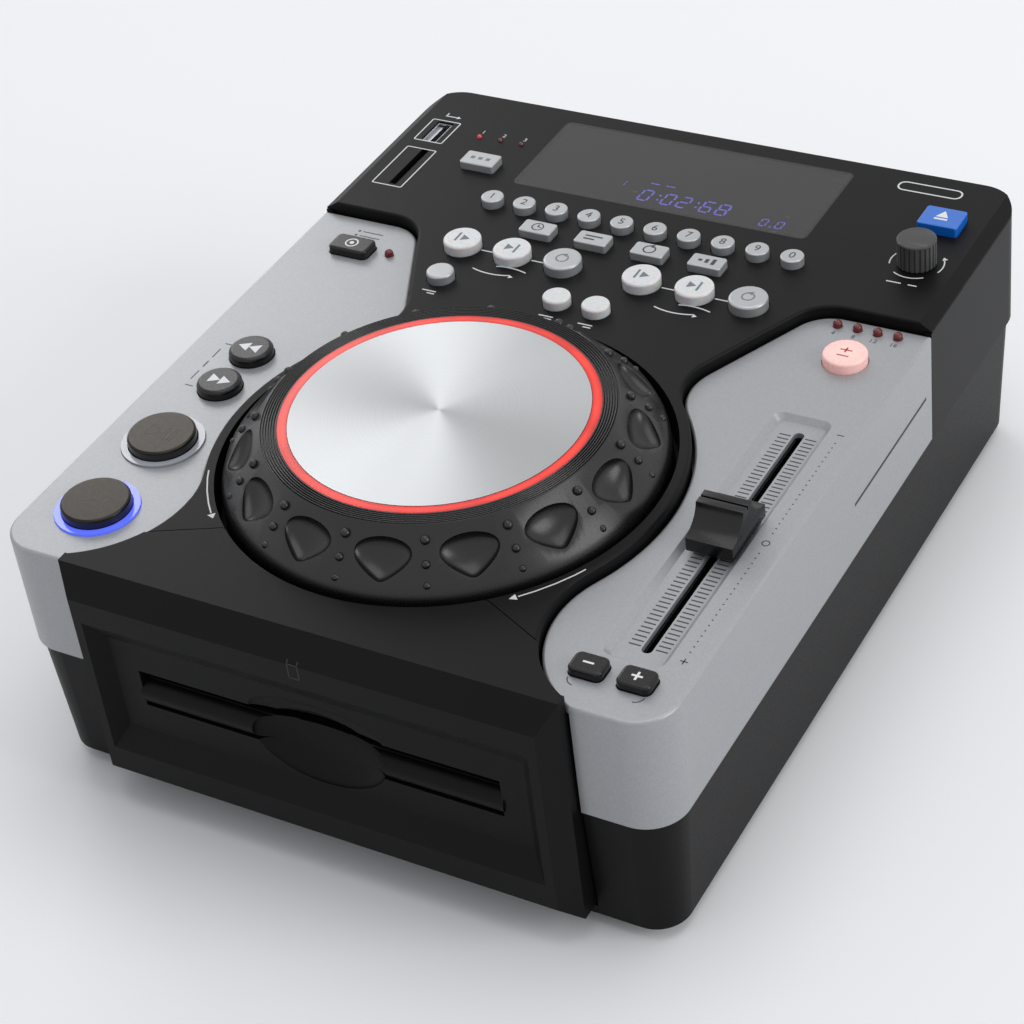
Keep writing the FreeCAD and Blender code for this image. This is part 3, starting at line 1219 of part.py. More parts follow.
def make_lamps():
    """Small domed lamps, each on a leg from the control board."""
    piece = Piece("indicator_leds")
    for name, x, y, surface, radius in lamps():
        low = surface - D.deck_thickness - 1.5
        straight = D.deck_thickness + 1.5 + (0.9 if float(surface) < float(DECK_Z) else 0.05)
        piece.cylinder(name, (x, y, low), radius, straight)
        piece.ellipsoid(name + "_dome", (x, y, low + straight), (radius, radius, radius * 0.9))
        piece.cylinder(name + "_leg", (x, y, BOARD_Z), 0.5, low + 0.3 - BOARD_Z)


def make_media_board():
    """Upright board behind the sockets, with the metal socket shell and the card holder."""
    board = Piece("media_board")
    usb_x, usb_y = D.usb_from_side - HALF_WIDTH, STEP_Y + D.usb_row
    card_x, card_y = D.card_from_side - HALF_WIDTH, STEP_Y + D.card_row
    top = DECK_Z - 0.5
    under_deck = DECK_Z - D.deck_thickness - D.fit_gap
    low = top - D.usb_depth - 14
    face_x = usb_x - D.usb_width / 2
    card_front = card_y - D.card_length / 2
    board.box("board", (face_x - D.board_thickness, card_front - 2, low),
              (D.board_thickness, usb_y + 10 - card_front + 2, under_deck - low))
    width, length = D.usb_width, D.usb_length
    shell = 0.4
    board.box("usb_shell", (face_x - 0.1, usb_y - length / 2, top - D.usb_depth - 2),
              (width + 0.1, length, D.usb_depth + 2))
    board.box("usb_mouth", (face_x + shell, usb_y - length / 2 + shell, top - D.usb_depth),
              (width - 2 * shell, length - 2 * shell, D.usb_depth + 1), cut=True)
    tongue = length - 5 * shell
    board.box("usb_tongue", (face_x + shell, usb_y - tongue / 2, top - D.usb_depth - 1),
              (1.8, tongue, D.usb_depth))
    deep = 20
    holder_x = face_x - D.board_thickness
    board.box("card_holder", (holder_x, card_front - 1.5, under_deck - deep),
              (card_x + D.card_width / 2 + 1 - holder_x, D.card_length + 3, deep))
    board.box("card_mouth", (card_x - D.card_width / 2, card_front, under_deck - deep + 2),
              (D.card_width, D.card_length, deep), cut=True)


def make_drive():
    """Slot-in drive: sheet-metal chassis, rubber roller, turntable and laser sled on two rods."""
    drive = Piece("drive_chassis")
    half, length, sheet = DRIVE_HALF_WIDTH, DRIVE_LENGTH, D.drive_sheet
    top = SLIT_Z + D.slot_opening + 2.5
    drive.box("case", (-half, DRIVE_Y, DRIVE_Z), (2 * half, length, top - DRIVE_Z))
    drive.box("room", (sheet - half, DRIVE_Y + sheet, DRIVE_Z + sheet),
              (2 * (half - sheet), length - 2 * sheet, top - DRIVE_Z - 2 * sheet + 0.3), cut=True)
    mouth = SLOT_HALF_WIDTH
    drive.box("mouth", (-mouth, DRIVE_Y - 1, SLIT_Z - D.fit_gap),
              (2 * mouth, sheet + 2, D.slot_opening + 2 * D.fit_gap), cut=True)
    drive.cylinder("motor", (0, SPINDLE_Y, DRIVE_Z + sheet - 0.1), 12, 8.1)
    drive.cylinder("motor_bore", (0, SPINDLE_Y, DRIVE_Z + sheet + 2), D.spindle_radius + D.bearing_gap, 8,
                   cut=True)
    rod_front = SPINDLE_Y + D.sled_from_spindle - 4
    rod_z = DRIVE_Z + 8
    drive.box("rod_bracket", (-D.rod_half_spacing - 4, rod_front, DRIVE_Z + sheet - 0.1),
              (2 * D.rod_half_spacing + 8, 3, 9.1))
    rear = DRIVE_Y + length - 1
    for side in (-1, 1):
        drive.cylinder(f"rod_{side + 1}", (side * D.rod_half_spacing, rod_front + 1, rod_z), D.rod_radius,
                       rear - rod_front - 1, axis="Y")
    roller_y = DRIVE_Y + D.roller_from_drive_front
    roller_z = SLIT_Z - D.roller_radius - D.fit_gap
    for side in (-1, 1):
        x = side * (half - 4.5)
        drive.box(f"roller_bracket_{side + 1}", (x - 1, roller_y - 3, DRIVE_Z + sheet - 0.1),
                  (2, 6, roller_z - DRIVE_Z - sheet + 2.6))
    journal = 1.5
    drive.cylinder("roller_bores", (-half + sheet + 0.1, roller_y, roller_z), journal + D.bearing_gap,
                   2 * (half - sheet) - 0.2, axis="X", cut=True)
    make_roller(roller_y, roller_z, journal)
    make_turntable()
    make_sled(rod_z)


def make_roller(y, z, journal):
    roller = Piece("loading_roller", (0, y, z))
    half = DRIVE_HALF_WIDTH - 6.2
    roller.cone("right_sleeve", (0, 0, 0), D.roller_radius - 0.8, D.roller_radius, half, axis="X")
    roller.cone("left_sleeve", (-half, 0, 0), D.roller_radius, D.roller_radius - 0.8, half, axis="X")
    reach = half + 2.2
    roller.cylinder("shaft", (-reach, 0, 0), journal, 2 * reach, axis="X")


def make_turntable():
    table = Piece("disc_turntable", (0, SPINDLE_Y, SLIT_Z))
    table.cylinder("platter", (0, 0, -3.2), D.turntable_radius, 2.2)
    table.cylinder("hub", (0, 0, -1.1), 7.4, 0.8)
    foot = D.drive_sheet + 2.3 - D.drive_floor_drop
    table.cylinder("shaft", (0, 0, foot), D.spindle_radius, -3 - foot)


def make_sled(rod_z):
    low = DRIVE_Z + 4.2
    sled = Piece("laser_sled", (0, SPINDLE_Y + D.sled_from_spindle, 0))
    half = D.rod_half_spacing + 4
    sled.box("carriage", (-half, 0, low), (2 * half, D.sled_length, 9))
    sled.cylinder("lens", (0, 5, low + 8), 3.6, 2.6)
    for side in (-1, 1):
        sled.cylinder(f"bore_{side + 1}", (side * D.rod_half_spacing, -1, rod_z),
                      D.rod_radius + D.bearing_gap, D.sled_length + 2, axis="Y", cut=True)


def make_boards():
    MAIN_BOARD.make("main_board", (
        ("processor", 25, 28, 20, 20, 1.8),
        ("memory", 55, 32, 18, 9, 1.4),
        ("motor_driver", 83, 14, 16, 8, 2.2),
        ("flat_connector", 7, 58, 24, 5, 6),
        ("audio_connector", 55, 64, 20, 6, 8),
    ))
    piece, top = SUPPLY_BOARD.make("power_supply", (
        ("transformer", 6, 8, 26, 24, 22),
        ("rectifier", 40, 8, 14, 6, 9),
        ("fuse_holder", 36, 54, 22, 8, 10),
    ))
    spacing = 14
    places = [(50, STEP_Y + 14 + spacing * index) for index in range(3)]
    piece.plate("capacitors", circles(places, 6), top, 20)


def make_rear_sockets():
    """Bay let into the rear wall, with line sockets, a jack and the mains inlet with its two pins."""
    bay = Piece("rear_sockets")
    half, depth, height = D.rear_bay_half_width, D.rear_bay_depth, D.rear_bay_height
    low = SEAM_Z + D.rear_bay_bottom
    front = REAR_Y - depth
    shell = 1.6
    bay.box("bay", (-half, front, low), (2 * half, depth, height))
    bay.box("bay_room", (-half + shell, front + 2, low + shell),
            (2 * (half - shell), depth, height - 2 * shell), cut=True)
    middle = low + height / 2
    for number, x in enumerate((-48, -32, -16), start=1):
        bay.cylinder(f"line_socket_{number}", (x, front + 1.5, middle), 4.2, 8.5, axis="Y")
        bay.cylinder(f"line_bore_{number}", (x, front + 2.5, middle), 1.6, 20, axis="Y", cut=True)
    bay.cylinder("start_jack", (2, front + 1.5, middle), 4.0, 5, axis="Y")
    bay.cylinder("start_jack_bore", (2, front + 2.5, middle), 1.8, 20, axis="Y", cut=True)
    bay.box("inlet", (22, front + 1.5, middle - 6), (20, 9, 12))
    bay.box("inlet_room", (23.5, front + 2.5, middle - 4.5), (17, 20, 9), cut=True)
    for number, x in enumerate((27.7, 36.3), start=1):
        bay.cylinder(f"inlet_pin_{number}", (x, front + 2, middle), 1.2, 7, axis="Y")
    bay.box("switch_hole", (46, front - 1, middle - 6.3), (12, 20, 12.6), cut=True)
    make_power_switch(middle, front)


def make_power_switch(z, front):
    """Rocker that tips about the X axis in the bay's back wall."""
    rocker = Piece("power_switch", (52, front + 2, z))
    rocker.box("rocker", (-5.6, -1.5, -5.8), (11.2, 3.0, 11.6))
    rocker.cylinder("barrel", (-5.6, 0, 0), 2.2, 11.2, axis="X")


def make_feet_and_screws():
    x = HALF_WIDTH - D.foot_from_side
    rows = (FRONT_Y + D.foot_from_end, REAR_Y - D.foot_from_end)
    places = [(side * x, y) for side in (-1, 1) for y in rows]
    Piece("rubber_feet").plate("feet", circles(places, D.foot_radius), 0, D.feet_height)
    screws = Piece("case_screws")
    for number, (x, y) in enumerate(screw_places(), start=1):
        screws.cylinder(f"head_{number}", (x, y, BASE_Z + D.fit_gap), 2 * D.screw_radius, 2.2)
        screws.cylinder(f"shank_{number}", (x, y, BASE_Z + 2), D.screw_radius, D.screw_length)


def check_and_export():
    """See that every object computed and every piece is sound, and only then write the files."""
    DOC.recompute()
    for item in DOC.Objects:
        if "Invalid" in item.State or "Error" in item.State:
            raise RuntimeError(f"{item.Label} failed: {item.State}")
    for piece in Piece.made:
        shape = piece.body.Shape
        if shape.isNull() or not shape.isValid():
            raise RuntimeError(f"{piece.body.Label} has no sound shape")
    os.makedirs("parts", exist_ok=True)
    for piece in Piece.made:
        piece.body.Shape.exportStep(f"parts/{piece.body.Label}.step")


def main():
    make_base_tub()
    make_left_side_cover()
    make_right_side_cover()
    make_control_deck(deck_keys())
    make_front_bezel()
    make_display()
    make_control_board()
    make_jog()
    make_knob()
    make_fader()
    make_button_light_rings()
    make_lamps()
    make_media_board()
    make_drive()
    make_boards()
    make_rear_sockets()
    make_feet_and_screws()
    for key in all_keys():
        key.make()
    check_and_export()


main()
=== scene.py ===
import json
import math

import bpy
from mathutils import Matrix, Vector


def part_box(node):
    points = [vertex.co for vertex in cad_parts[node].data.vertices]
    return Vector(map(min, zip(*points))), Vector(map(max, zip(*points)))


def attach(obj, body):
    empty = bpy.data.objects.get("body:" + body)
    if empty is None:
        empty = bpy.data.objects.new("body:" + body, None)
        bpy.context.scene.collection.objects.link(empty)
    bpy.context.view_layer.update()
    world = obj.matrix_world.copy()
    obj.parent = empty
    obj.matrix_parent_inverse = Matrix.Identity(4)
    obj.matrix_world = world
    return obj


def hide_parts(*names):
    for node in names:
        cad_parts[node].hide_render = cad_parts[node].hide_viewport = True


bl_info = {
    "name": "Tabletop Disc Player",
    "version": (1, 0, 0),
    "blender": (4, 5, 0),
    "location": "3D View > Sidebar > Disc Player",
    "description": "Finishes, printing and small details of a tabletop disc player with a jog wheel",
    "category": "Add Mesh",
}

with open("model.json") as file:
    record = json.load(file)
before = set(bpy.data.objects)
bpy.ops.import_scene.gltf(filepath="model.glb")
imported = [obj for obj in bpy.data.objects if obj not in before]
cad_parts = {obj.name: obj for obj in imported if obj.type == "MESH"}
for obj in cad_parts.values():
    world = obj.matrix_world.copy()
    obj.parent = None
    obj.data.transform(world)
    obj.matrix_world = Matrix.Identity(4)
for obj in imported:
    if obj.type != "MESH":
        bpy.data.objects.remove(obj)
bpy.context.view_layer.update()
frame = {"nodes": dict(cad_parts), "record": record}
MM = 0.001
BODY_OF = {node: body for body, nodes in frame["record"]["behaviour"]["bodies"].items() for node in nodes}

# Main planes and centres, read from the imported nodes
DECK_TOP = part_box("display_window")[1].z
COVER_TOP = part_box("right_side_cover")[1].z
JOG_LOW, JOG_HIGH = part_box("jog_disc")
JOG = (JOG_LOW + JOG_HIGH) / 2
JOG_LIGHT_RADIUS = (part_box("jog_light_ring")[1].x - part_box("jog_light_ring")[0].x) / 2
JOG_DISC_RADIUS = (JOG_HIGH.x - JOG_LOW.x) / 2
FACE_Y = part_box("front_bezel")[0].y

# Type size of a figure one unit high
FIGURE_TO_TYPE = 1.4


def linear(code):
    """An sRGB hex colour as linear RGBA."""
    channels = [int(code[place:place + 2], 16) / 255 for place in (1, 3, 5)]
    return [c / 12.92 if c <= 0.04045 else ((c + 0.055) / 1.055) ** 2.4 for c in channels] + [1.0]


def rgba(colour):
    """Linear RGBA of a hex code, or of a colour that is linear already."""
    return linear(colour) if isinstance(colour, str) else list(colour)


def shaded(colour, share):
    """A darker tone of a colour."""
    return [channel * share for channel in rgba(colour)[:3]] + [1.0]


def looks():
    return bpy.context.scene.player_looks


def sizes():
    return bpy.context.scene.player_sizes


def add_node(tree, kind, inputs=None, **settings):
    """Add one node with its settings, and set or link its inputs."""
    node = tree.nodes.new("ShaderNode" + kind)
    for name, value in settings.items():
        setattr(node, name, value)
    for name, value in (inputs or {}).items():
        if isinstance(value, bpy.types.NodeSocket):
            tree.links.new(value, node.inputs[name])
        else:
            node.inputs[name].default_value = value
    return node


def link(shader, socket, output):
    shader.id_data.links.new(output, shader.inputs[socket])


def add_noise(tree, place, size_mm, detail):
    """Noise whose patches have a real size."""
    noise = add_node(tree, "TexNoise", {"Vector": place, "Scale": 1 / (size_mm * MM), "Detail": detail})
    return noise.outputs["Fac"]


def remap(tree, value, source, target=(0.0, 1.0)):
    """Carry a value from one range to another."""
    ends = {"From Min": source[0], "From Max": source[1], "To Min": target[0], "To Max": target[1]}
    return add_node(tree, "MapRange", {"Value": value, **ends}).outputs["Result"]


def add_ramp(tree, factor, low, high):
    """Blend two colours by a factor from 0 to 1."""
    ramp = add_node(tree, "ValToRGB", {"Fac": factor})
    for stop, colour in zip(ramp.color_ramp.elements, (low, high)):
        stop.color = rgba(colour)
    return ramp.outputs["Color"]


def add_mix(tree, factor, low, high):
    """Mix two hex colours."""
    mix = add_node(tree, "Mix", {"Factor": factor, 6: linear(low), 7: linear(high)}, data_type="RGBA")
    return mix.outputs[2]


def start_material(name, colour, **sockets):
    """A material whose constant values sit on the shader's own sockets."""
    made = bpy.data.materials.new(name)
    made.use_nodes = True
    shader = made.node_tree.nodes["Principled BSDF"]
    shader.inputs["Base Color"].default_value = rgba(colour)
    for socket, value in sockets.items():
        shader.inputs[socket.replace("_", " ")].default_value = value
    return made, made.node_tree, shader


def add_grain(tree, shader, grain_mm, depth_mm, roughness=None, tones=None, patch_mm=45.0):
    """Noise of a real size in the surface's height and roughness, and slow patches in its colour."""
    place = add_node(tree, "TexCoord").outputs["Object"]
    noise = add_noise(tree, place, grain_mm, 3.0)
    bump = add_node(tree, "Bump", {"Height": noise, "Distance": depth_mm * MM})
    link(shader, "Normal", bump.outputs["Normal"])
    if roughness is not None:
        spread = remap(tree, noise, (0.3, 0.7), roughness)
        link(shader, "Roughness", spread)
    if tones is not None:
        patches = add_noise(tree, place, patch_mm, 4.0)
        colour = add_ramp(tree, patches, *tones)
        link(shader, "Base Color", colour)
    return place


def height_mask(tree, place, low, high):
    """0 below one height and 1 above another."""
    height = add_node(tree, "SeparateXYZ", {"Vector": place}).outputs["Z"]
    return remap(tree, height, (low, high))


def distance_from(tree, place, centre):
    """Distance from the upright axis through a centre."""
    level = add_node(tree, "VectorMath", {0: place, 1: (1, 1, 0)}, operation="MULTIPLY").outputs["Vector"]
    away = add_node(tree, "VectorMath", {0: level, 1: (centre[0], centre[1], 0)}, operation="DISTANCE")
    return away.outputs["Value"]


def near(tree, place, centre, radius):
    """1 within a radius of an upright axis, and 0 outside it."""
    away = distance_from(tree, place, centre)
    return add_node(tree, "Math", {0: away, 1: radius}, operation="LESS_THAN").outputs["Value"]


def moulded_black_abs():
    """Black ABS from a spark-eroded mould: a fine even grain that greys the gloss a little."""
    made, tree, shader = start_material("moulded_black_abs", "#0c0c0d", Specular_IOR_Level=0.1, IOR=1.53)
    add_grain(tree, shader, 0.45, 0.012, (0.36, 0.5), ("#0a0a0b", "#0f0f10"))
    return made


def satin_jog_abs():
    """Finer satin ABS of the jog wheel, smoother and a touch glossier than the casing."""
    made, tree, shader = start_material("satin_moulded_jog_abs", "#0d0d0e", Specular_IOR_Level=0.4, IOR=1.53)
    add_grain(tree, shader, 0.35, 0.008, (0.24, 0.36), ("#0c0c0d", "#111112"), 30.0)
    return made


def silver_lacquer():
    """Sprayed silver lacquer over ABS: small metal flakes under a satin coat."""
    made, tree, shader = start_material(
        "sprayed_silver_lacquer", "#b0b2b4", Metallic=0.35, Coat_Weight=0.1, Coat_Roughness=0.22)
    place = add_grain(tree, shader, 0.6, 0.002, (0.34, 0.46))
    flakes = add_node(tree, "TexVoronoi", {"Vector": place, "Scale": 1 / (0.4 * MM)})
    colour = add_ramp(tree, flakes.outputs["Color"], "#95979a", "#9fa1a4")
    link(shader, "Base Color", colour)
    return made


def spun_aluminium():
    """Aluminium turned on a lathe and clear anodised: rings too fine to see stretch each highlight."""
    made, tree, shader = start_material(
        "turned_anodised_aluminium", "#d3d4d6", Metallic=1.0, Roughness=0.33, Anisotropic=0.85)
    place = add_node(tree, "TexCoord").outputs["Object"]
    reach = distance_from(tree, place, JOG)
    rings = add_node(tree, "TexNoise", {"W": reach, "Scale": 1 / (0.35 * MM), "Detail": 2.0},
                     noise_dimensions="1D")
    bump = add_node(tree, "Bump", {"Height": rings.outputs["Fac"], "Distance": 0.0015 * MM})
    link(shader, "Normal", bump.outputs["Normal"])
    colour = add_ramp(tree, rings.outputs["Fac"], "#a2a4a6", "#b3b5b7")
    link(shader, "Base Color", colour)
    tangent = add_node(tree, "Tangent", direction_type="RADIAL", axis="Z")
    link(shader, "Tangent", tangent.outputs["Tangent"])
    return made


def red_light_pipe():
    """Cast red acrylic lit from below: brightest along its middle, with darker patches between lamps."""
    made, tree, shader = start_material("lit_red_acrylic", "#c3170f", Roughness=0.25, IOR=1.49)
    place = add_node(tree, "TexCoord").outputs["Object"]
    reach = distance_from(tree, place, JOG)
    across = remap(tree, reach, (JOG_DISC_RADIUS, JOG_LIGHT_RADIUS))
    ramp = add_node(tree, "ValToRGB", {"Fac": across})
    stops = ramp.color_ramp.elements
    stops[0].position, stops[0].color = 0.05, linear("#6d0a08")
    stops[1].position, stops[1].color = 0.95, linear("#8c0f0b")
    middle = stops.new(0.5)
    middle.color = linear("#ff4630")
    glow = add_noise(tree, place, 16, 1.0)
    power = remap(tree, glow, (0.35, 0.65), (0.28, 0.8))
    link(shader, "Emission Color", ramp.outputs["Color"])
    link(shader, "Emission Strength", power)
    return made


def clear_light_rings(lit_centre):
    """Clear acrylic rings: the one round the play button carries blue light, the other is unlit."""
    made, tree, shader = start_material(
        "clear_acrylic_rings", "#b9bcc2", Roughness=0.18, IOR=1.49, Coat_Weight=0.6, Coat_Roughness=0.08)
    place = add_grain(tree, shader, 1.2, 0.004)
    lit = near(tree, place, lit_centre, 20 * MM)
    link(shader, "Base Color", add_mix(tree, lit, "#a9acb2", "#5a6be6"))
    strength = add_node(tree, "Math", {0: lit, 1: 0.55}, operation="MULTIPLY")
    shader.inputs["Emission Color"].default_value = rgba(looks().play_light)
    link(shader, "Emission Strength", strength.outputs["Value"])
    return made


def lamp_plastic(lit_centre):
    """Red epoxy of the small lamps: dark when off, and bright in the one that is lit."""
    made, tree, shader = start_material(
        "moulded_red_epoxy", "#5d1216", Roughness=0.12, IOR=1.5,
        Subsurface_Weight=0.2, Subsurface_Scale=0.002)
    place = add_grain(tree, shader, 0.8, 0.004)
    lit = near(tree, place, lit_centre, 3 * MM)
    shader.inputs["Emission Color"].default_value = linear("#ff3a2c")
    power = remap(tree, lit, (0, 1), (0.01, 0.5))
    link(shader, "Emission Strength", power)
    return made


def milky_plastic():
    """Milky polycarbonate keys that scatter light, so their domes have soft shading."""
    made, tree, shader = start_material(
        "moulded_milky_polycarbonate", "#d6d8d8", Roughness=0.28, IOR=1.58,
        Subsurface_Weight=0.35, Subsurface_Scale=0.004)
    add_grain(tree, shader, 2.5, 0.002, (0.24, 0.34))
    return made


def rosy_plastic():
    """The pitch button's milky polycarbonate, lit pink from below."""
    made, tree, shader = start_material(
        "lit_rosy_polycarbonate", "#f2c9c3", Roughness=0.28, IOR=1.58,
        Subsurface_Weight=0.3, Subsurface_Scale=0.004)
    place = add_grain(tree, shader, 1.0, 0.004, (0.24, 0.34))
    away = distance_from(tree, place, box_centre("pitch_button"))
    glow = remap(tree, away, (7 * MM, 0.0), (0.12, 0.45))
    shader.inputs["Emission Color"].default_value = linear("#ff9c92")
    link(shader, "Emission Strength", glow)
    return made


def silver_key_paint():
    """Pearly silver paint on the small keys, softer than the casing's lacquer."""
    made, tree, shader = start_material(
        "pad_painted_silver_keys", "#b4b6b7", Metallic=0.45, Coat_Weight=0.15, Coat_Roughness=0.2)
    add_grain(tree, shader, 0.5, 0.003, (0.28, 0.4), ("#a6a8aa", "#b1b3b4"), 6.0)
    return made


def dark_chrome(floor_z):
    """Smoked chrome plate on the main buttons' tops, over plain black sides."""
    made, tree, shader = start_material("smoked_chrome_plate", "#6b6661", Metallic=1.0)
    place = add_grain(tree, shader, 1.4, 0.003, (0.16, 0.26))
    top = height_mask(tree, place, floor_z, floor_z + 0.3 * MM)
    link(shader, "Base Color", add_mix(tree, top, "#101011", "#2e2b28"))
    link(shader, "Metallic", top)
    return made


def glossy_black_key():
    """Glossy black ABS of the search, mode and pitch keys and of the fader's cap."""
    made, tree, shader = start_material("polished_black_key_abs", "#0b0b0c", IOR=1.53, Specular_IOR_Level=0.3)
    add_grain(tree, shader, 0.7, 0.003, (0.2, 0.32), ("#0a0a0b", "#0f0f10"), 8.0)
    return made


def soft_black_knob():
    """Dark grey soft-touch coating on the track knob: matt, with rubbed edges."""
    made, tree, shader = start_material("soft_touch_coating", "#2b2b2c", IOR=1.45, Sheen_Weight=0.15)
    place = add_grain(tree, shader, 0.3, 0.01, (0.42, 0.56))
    edge = add_node(tree, "NewGeometry").outputs["Pointiness"]
    worn = remap(tree, edge, (0.5, 0.62))
    link(shader, "Base Color", add_mix(tree, worn, "#262627", "#454546"))
    return made


def blue_key_plastic():
    """Blue ABS of the eject key."""
    made, tree, shader = start_material(
        "moulded_blue_abs", "#0a66c8", IOR=1.53, Coat_Weight=0.3, Coat_Roughness=0.15)
    add_grain(tree, shader, 0.6, 0.004, (0.26, 0.36), ("#0960bd", "#0c6cd2"), 9.0)
    return made


def smoked_acrylic():
    """Smoked acrylic pane: dark and glossy, with the lit digits showing through."""
    made, tree, shader = start_material(
        "cast_smoked_acrylic", "#4a4a52", Roughness=0.06, IOR=1.49, Transmission_Weight=0.9)
    add_grain(tree, shader, 14.0, 0.01, (0.04, 0.09))
    return made


def display_glow(name, colour, strength):
    """Lit segments of the display: an even glow with soft spots where each lamp sits."""
    made, tree, shader = start_material(name, "#1a1a24", Roughness=0.4)
    place = add_node(tree, "TexCoord").outputs["Object"]
    spots = add_noise(tree, place, 1.5, 1.0)
    power = remap(tree, spots, (0.3, 0.7), (0.75 * strength, 1.15 * strength))
    shader.inputs["Emission Color"].default_value = rgba(colour)
    link(shader, "Emission Strength", power)
    return made


def screen_ink(name, colour):
    """Screen-printed ink: a matt film with small pinholes."""
    made, tree, shader = start_material(name, colour, IOR=1.5)
    place = add_grain(tree, shader, 0.25, 0.004, (0.45, 0.6))
    pins = add_noise(tree, place, 0.5, 2.0)
    tones = add_ramp(tree, pins, shaded(colour, 0.86), colour)
    link(shader, "Base Color", tones)
    return made


def zinc_plate(name, colour, rough):
    """Zinc-plated sheet: pale grey metal with faint crystalline spangle."""
    made, tree, shader = start_material(name, colour, Metallic=1.0)
    place = add_grain(tree, shader, 0.8, 0.004, rough)
    spangle = add_node(tree, "TexVoronoi", {"Vector": place, "Scale": 1 / (3.0 * MM)})
    tones = add_ramp(tree, spangle.outputs["Distance"], shaded(colour, 0.85), colour)
    link(shader, "Base Color", tones)
    return made


def circuit_board():
    """Green solder mask over woven glass, with the weave faintly in its height."""
    made, tree, shader = start_material("solder_masked_glass_epoxy", "#12462f", IOR=1.5, Coat_Weight=0.4)
    add_grain(tree, shader, 0.9, 0.01, (0.25, 0.4), ("#0f3d29", "#165238"), 5.0)
    return made


def feet_rubber():
    """Moulded rubber of the feet and roller: dull black with a dusty bloom."""
    made, tree, shader = start_material("moulded_rubber", "#1d1d1d", IOR=1.52, Sheen_Weight=0.2)
    add_grain(tree, shader, 0.5, 0.02, (0.7, 0.85), ("#191919", "#242424"), 10.0)
    return made


def box_centre(node):
    low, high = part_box(node)
    return (low + high) / 2


def top_of(node):
    """The middle of a node's top, in metres."""
    centre = box_centre(node)
    return Vector((centre.x, centre.y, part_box(node)[1].z))


def clear_selection():
    if bpy.context.object is not None and bpy.context.object.mode != "OBJECT":
        bpy.ops.object.mode_set(mode="OBJECT")
    bpy.ops.object.select_all(action="DESELECT")


def only(piece):
    """Select one object alone and make it the active one."""
    clear_selection()
    piece.select_set(True)
    bpy.context.view_layer.objects.active = piece


def apply_place():
    """Put the selected object's place, turn and scale into its mesh."""
    bpy.ops.object.transform_apply(location=True, rotation=True, scale=True)


def edit_all(piece):
    """Enter edit mode on one object with all of it selected."""
    only(piece)
    bpy.ops.object.mode_set(mode="EDIT")
    bpy.ops.mesh.select_all(action="SELECT")


def keep_edge(piece, width):
    """Leave only a strip of a flat face, this many millimetres wide, along its edge."""
    edit_all(piece)
    bpy.ops.mesh.inset(thickness=width * MM)
    bpy.ops.mesh.delete(type="FACE")
    bpy.ops.object.mode_set(mode="OBJECT")


def apply_modifier(piece, kind, **settings):
    only(piece)
    modifier = piece.modifiers.new(kind.title(), kind)
    for name, value in settings.items():
        setattr(modifier, name, value)
    bpy.ops.object.modifier_apply(modifier=modifier.name)


def settle(piece, name, material, body):
    """Give a piece its name, finish and body, with its place in its mesh."""
    only(piece)
    apply_place()
    piece.name = name
    piece.data.name = name
    piece.data.materials.clear()
    piece.data.materials.append(material)
    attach(piece, body)


def bar(x, y, length, width):
    """A flat bar in millimetres about a point."""
    clear_selection()
    bpy.ops.mesh.primitive_plane_add(size=MM, location=(x * MM, y * MM, 0))
    piece = bpy.context.object
    piece.scale = (length, width, 1)
    apply_place()
    return piece


def polygon(x, y, radius, corners, turn=0.0):
    """A flat polygon: a triangle points along X before it is turned."""
    clear_selection()
    bpy.ops.mesh.primitive_circle_add(vertices=corners, radius=radius * MM, fill_type="NGON")
    piece = bpy.context.object
    piece.rotation_euler = (0, 0, -math.pi / 2)
    apply_place()
    piece.rotation_euler = (0, 0, math.radians(turn))
    piece.location = (x * MM, y * MM, 0)
    apply_place()
    return piece


def arrow(x, y, radius, turn):
    return polygon(x, y, radius, 3, turn)


def band(x, y, radius, width, start=None, end=None):
    """A flat ring, or the part of it between two angles in degrees, less than half a turn."""
    clear_selection()
    bpy.ops.mesh.primitive_circle_add(vertices=72, radius=radius * MM, fill_type="NGON", location=(0, 0, 0))
    piece = bpy.context.object
    keep_edge(piece, width)
    if start is not None:
        for angle, side in ((start, -1), (end, 1)):
            across = (-math.sin(math.radians(angle)) * side, math.cos(math.radians(angle)) * side, 0)
            edit_all(piece)
            bpy.ops.mesh.bisect(plane_co=(0, 0, 0), plane_no=across, clear_outer=True)
            bpy.ops.object.mode_set(mode="OBJECT")
    piece.location = (x * MM, y * MM, 0)
    apply_place()
    return piece


def outline(x, y, length, width, line, corner=1.0):
    """A flat rectangular outline with rounded corners."""
    piece = bar(x, y, length, width)
    edit_all(piece)
    bpy.ops.mesh.bevel(offset=corner * MM, segments=5, affect="VERTICES")
    bpy.ops.object.mode_set(mode="OBJECT")
    keep_edge(piece, line)
    return piece


def word(text, x, y, height):
    """Plain figures or signs in millimetres, centred on a point."""
    clear_selection()
    bpy.ops.object.text_add(location=(x * MM, y * MM, 0))
    piece = bpy.context.object
    piece.data.body = text
    piece.data.size = height * MM * FIGURE_TO_TYPE
    piece.data.align_x = "CENTER"
    piece.data.align_y = "CENTER"
    piece.data.resolution_u = 4
    bpy.ops.object.convert(target="MESH")
    piece = bpy.context.object
    only(piece)
    apply_place()
    return piece


def join_all(pieces):
    """Join pieces into the first of them."""
    only(pieces[0])
    for piece in pieces[1:]:
        piece.select_set(True)
    if len(pieces) > 1:
        bpy.ops.object.join()
    return pieces[0]


def print_marks(marks, name, height, material, body="case", thick=0.05):
    """Join flat marks into one film of ink on a surface, a little sunk, at a height in metres."""
    film = join_all(marks)
    film.location.z = height + 0.1 * thick * MM
    apply_place()
    apply_modifier(film, "SOLIDIFY", thickness=thick * MM, offset=0.0)
    settle(film, name, material, body)


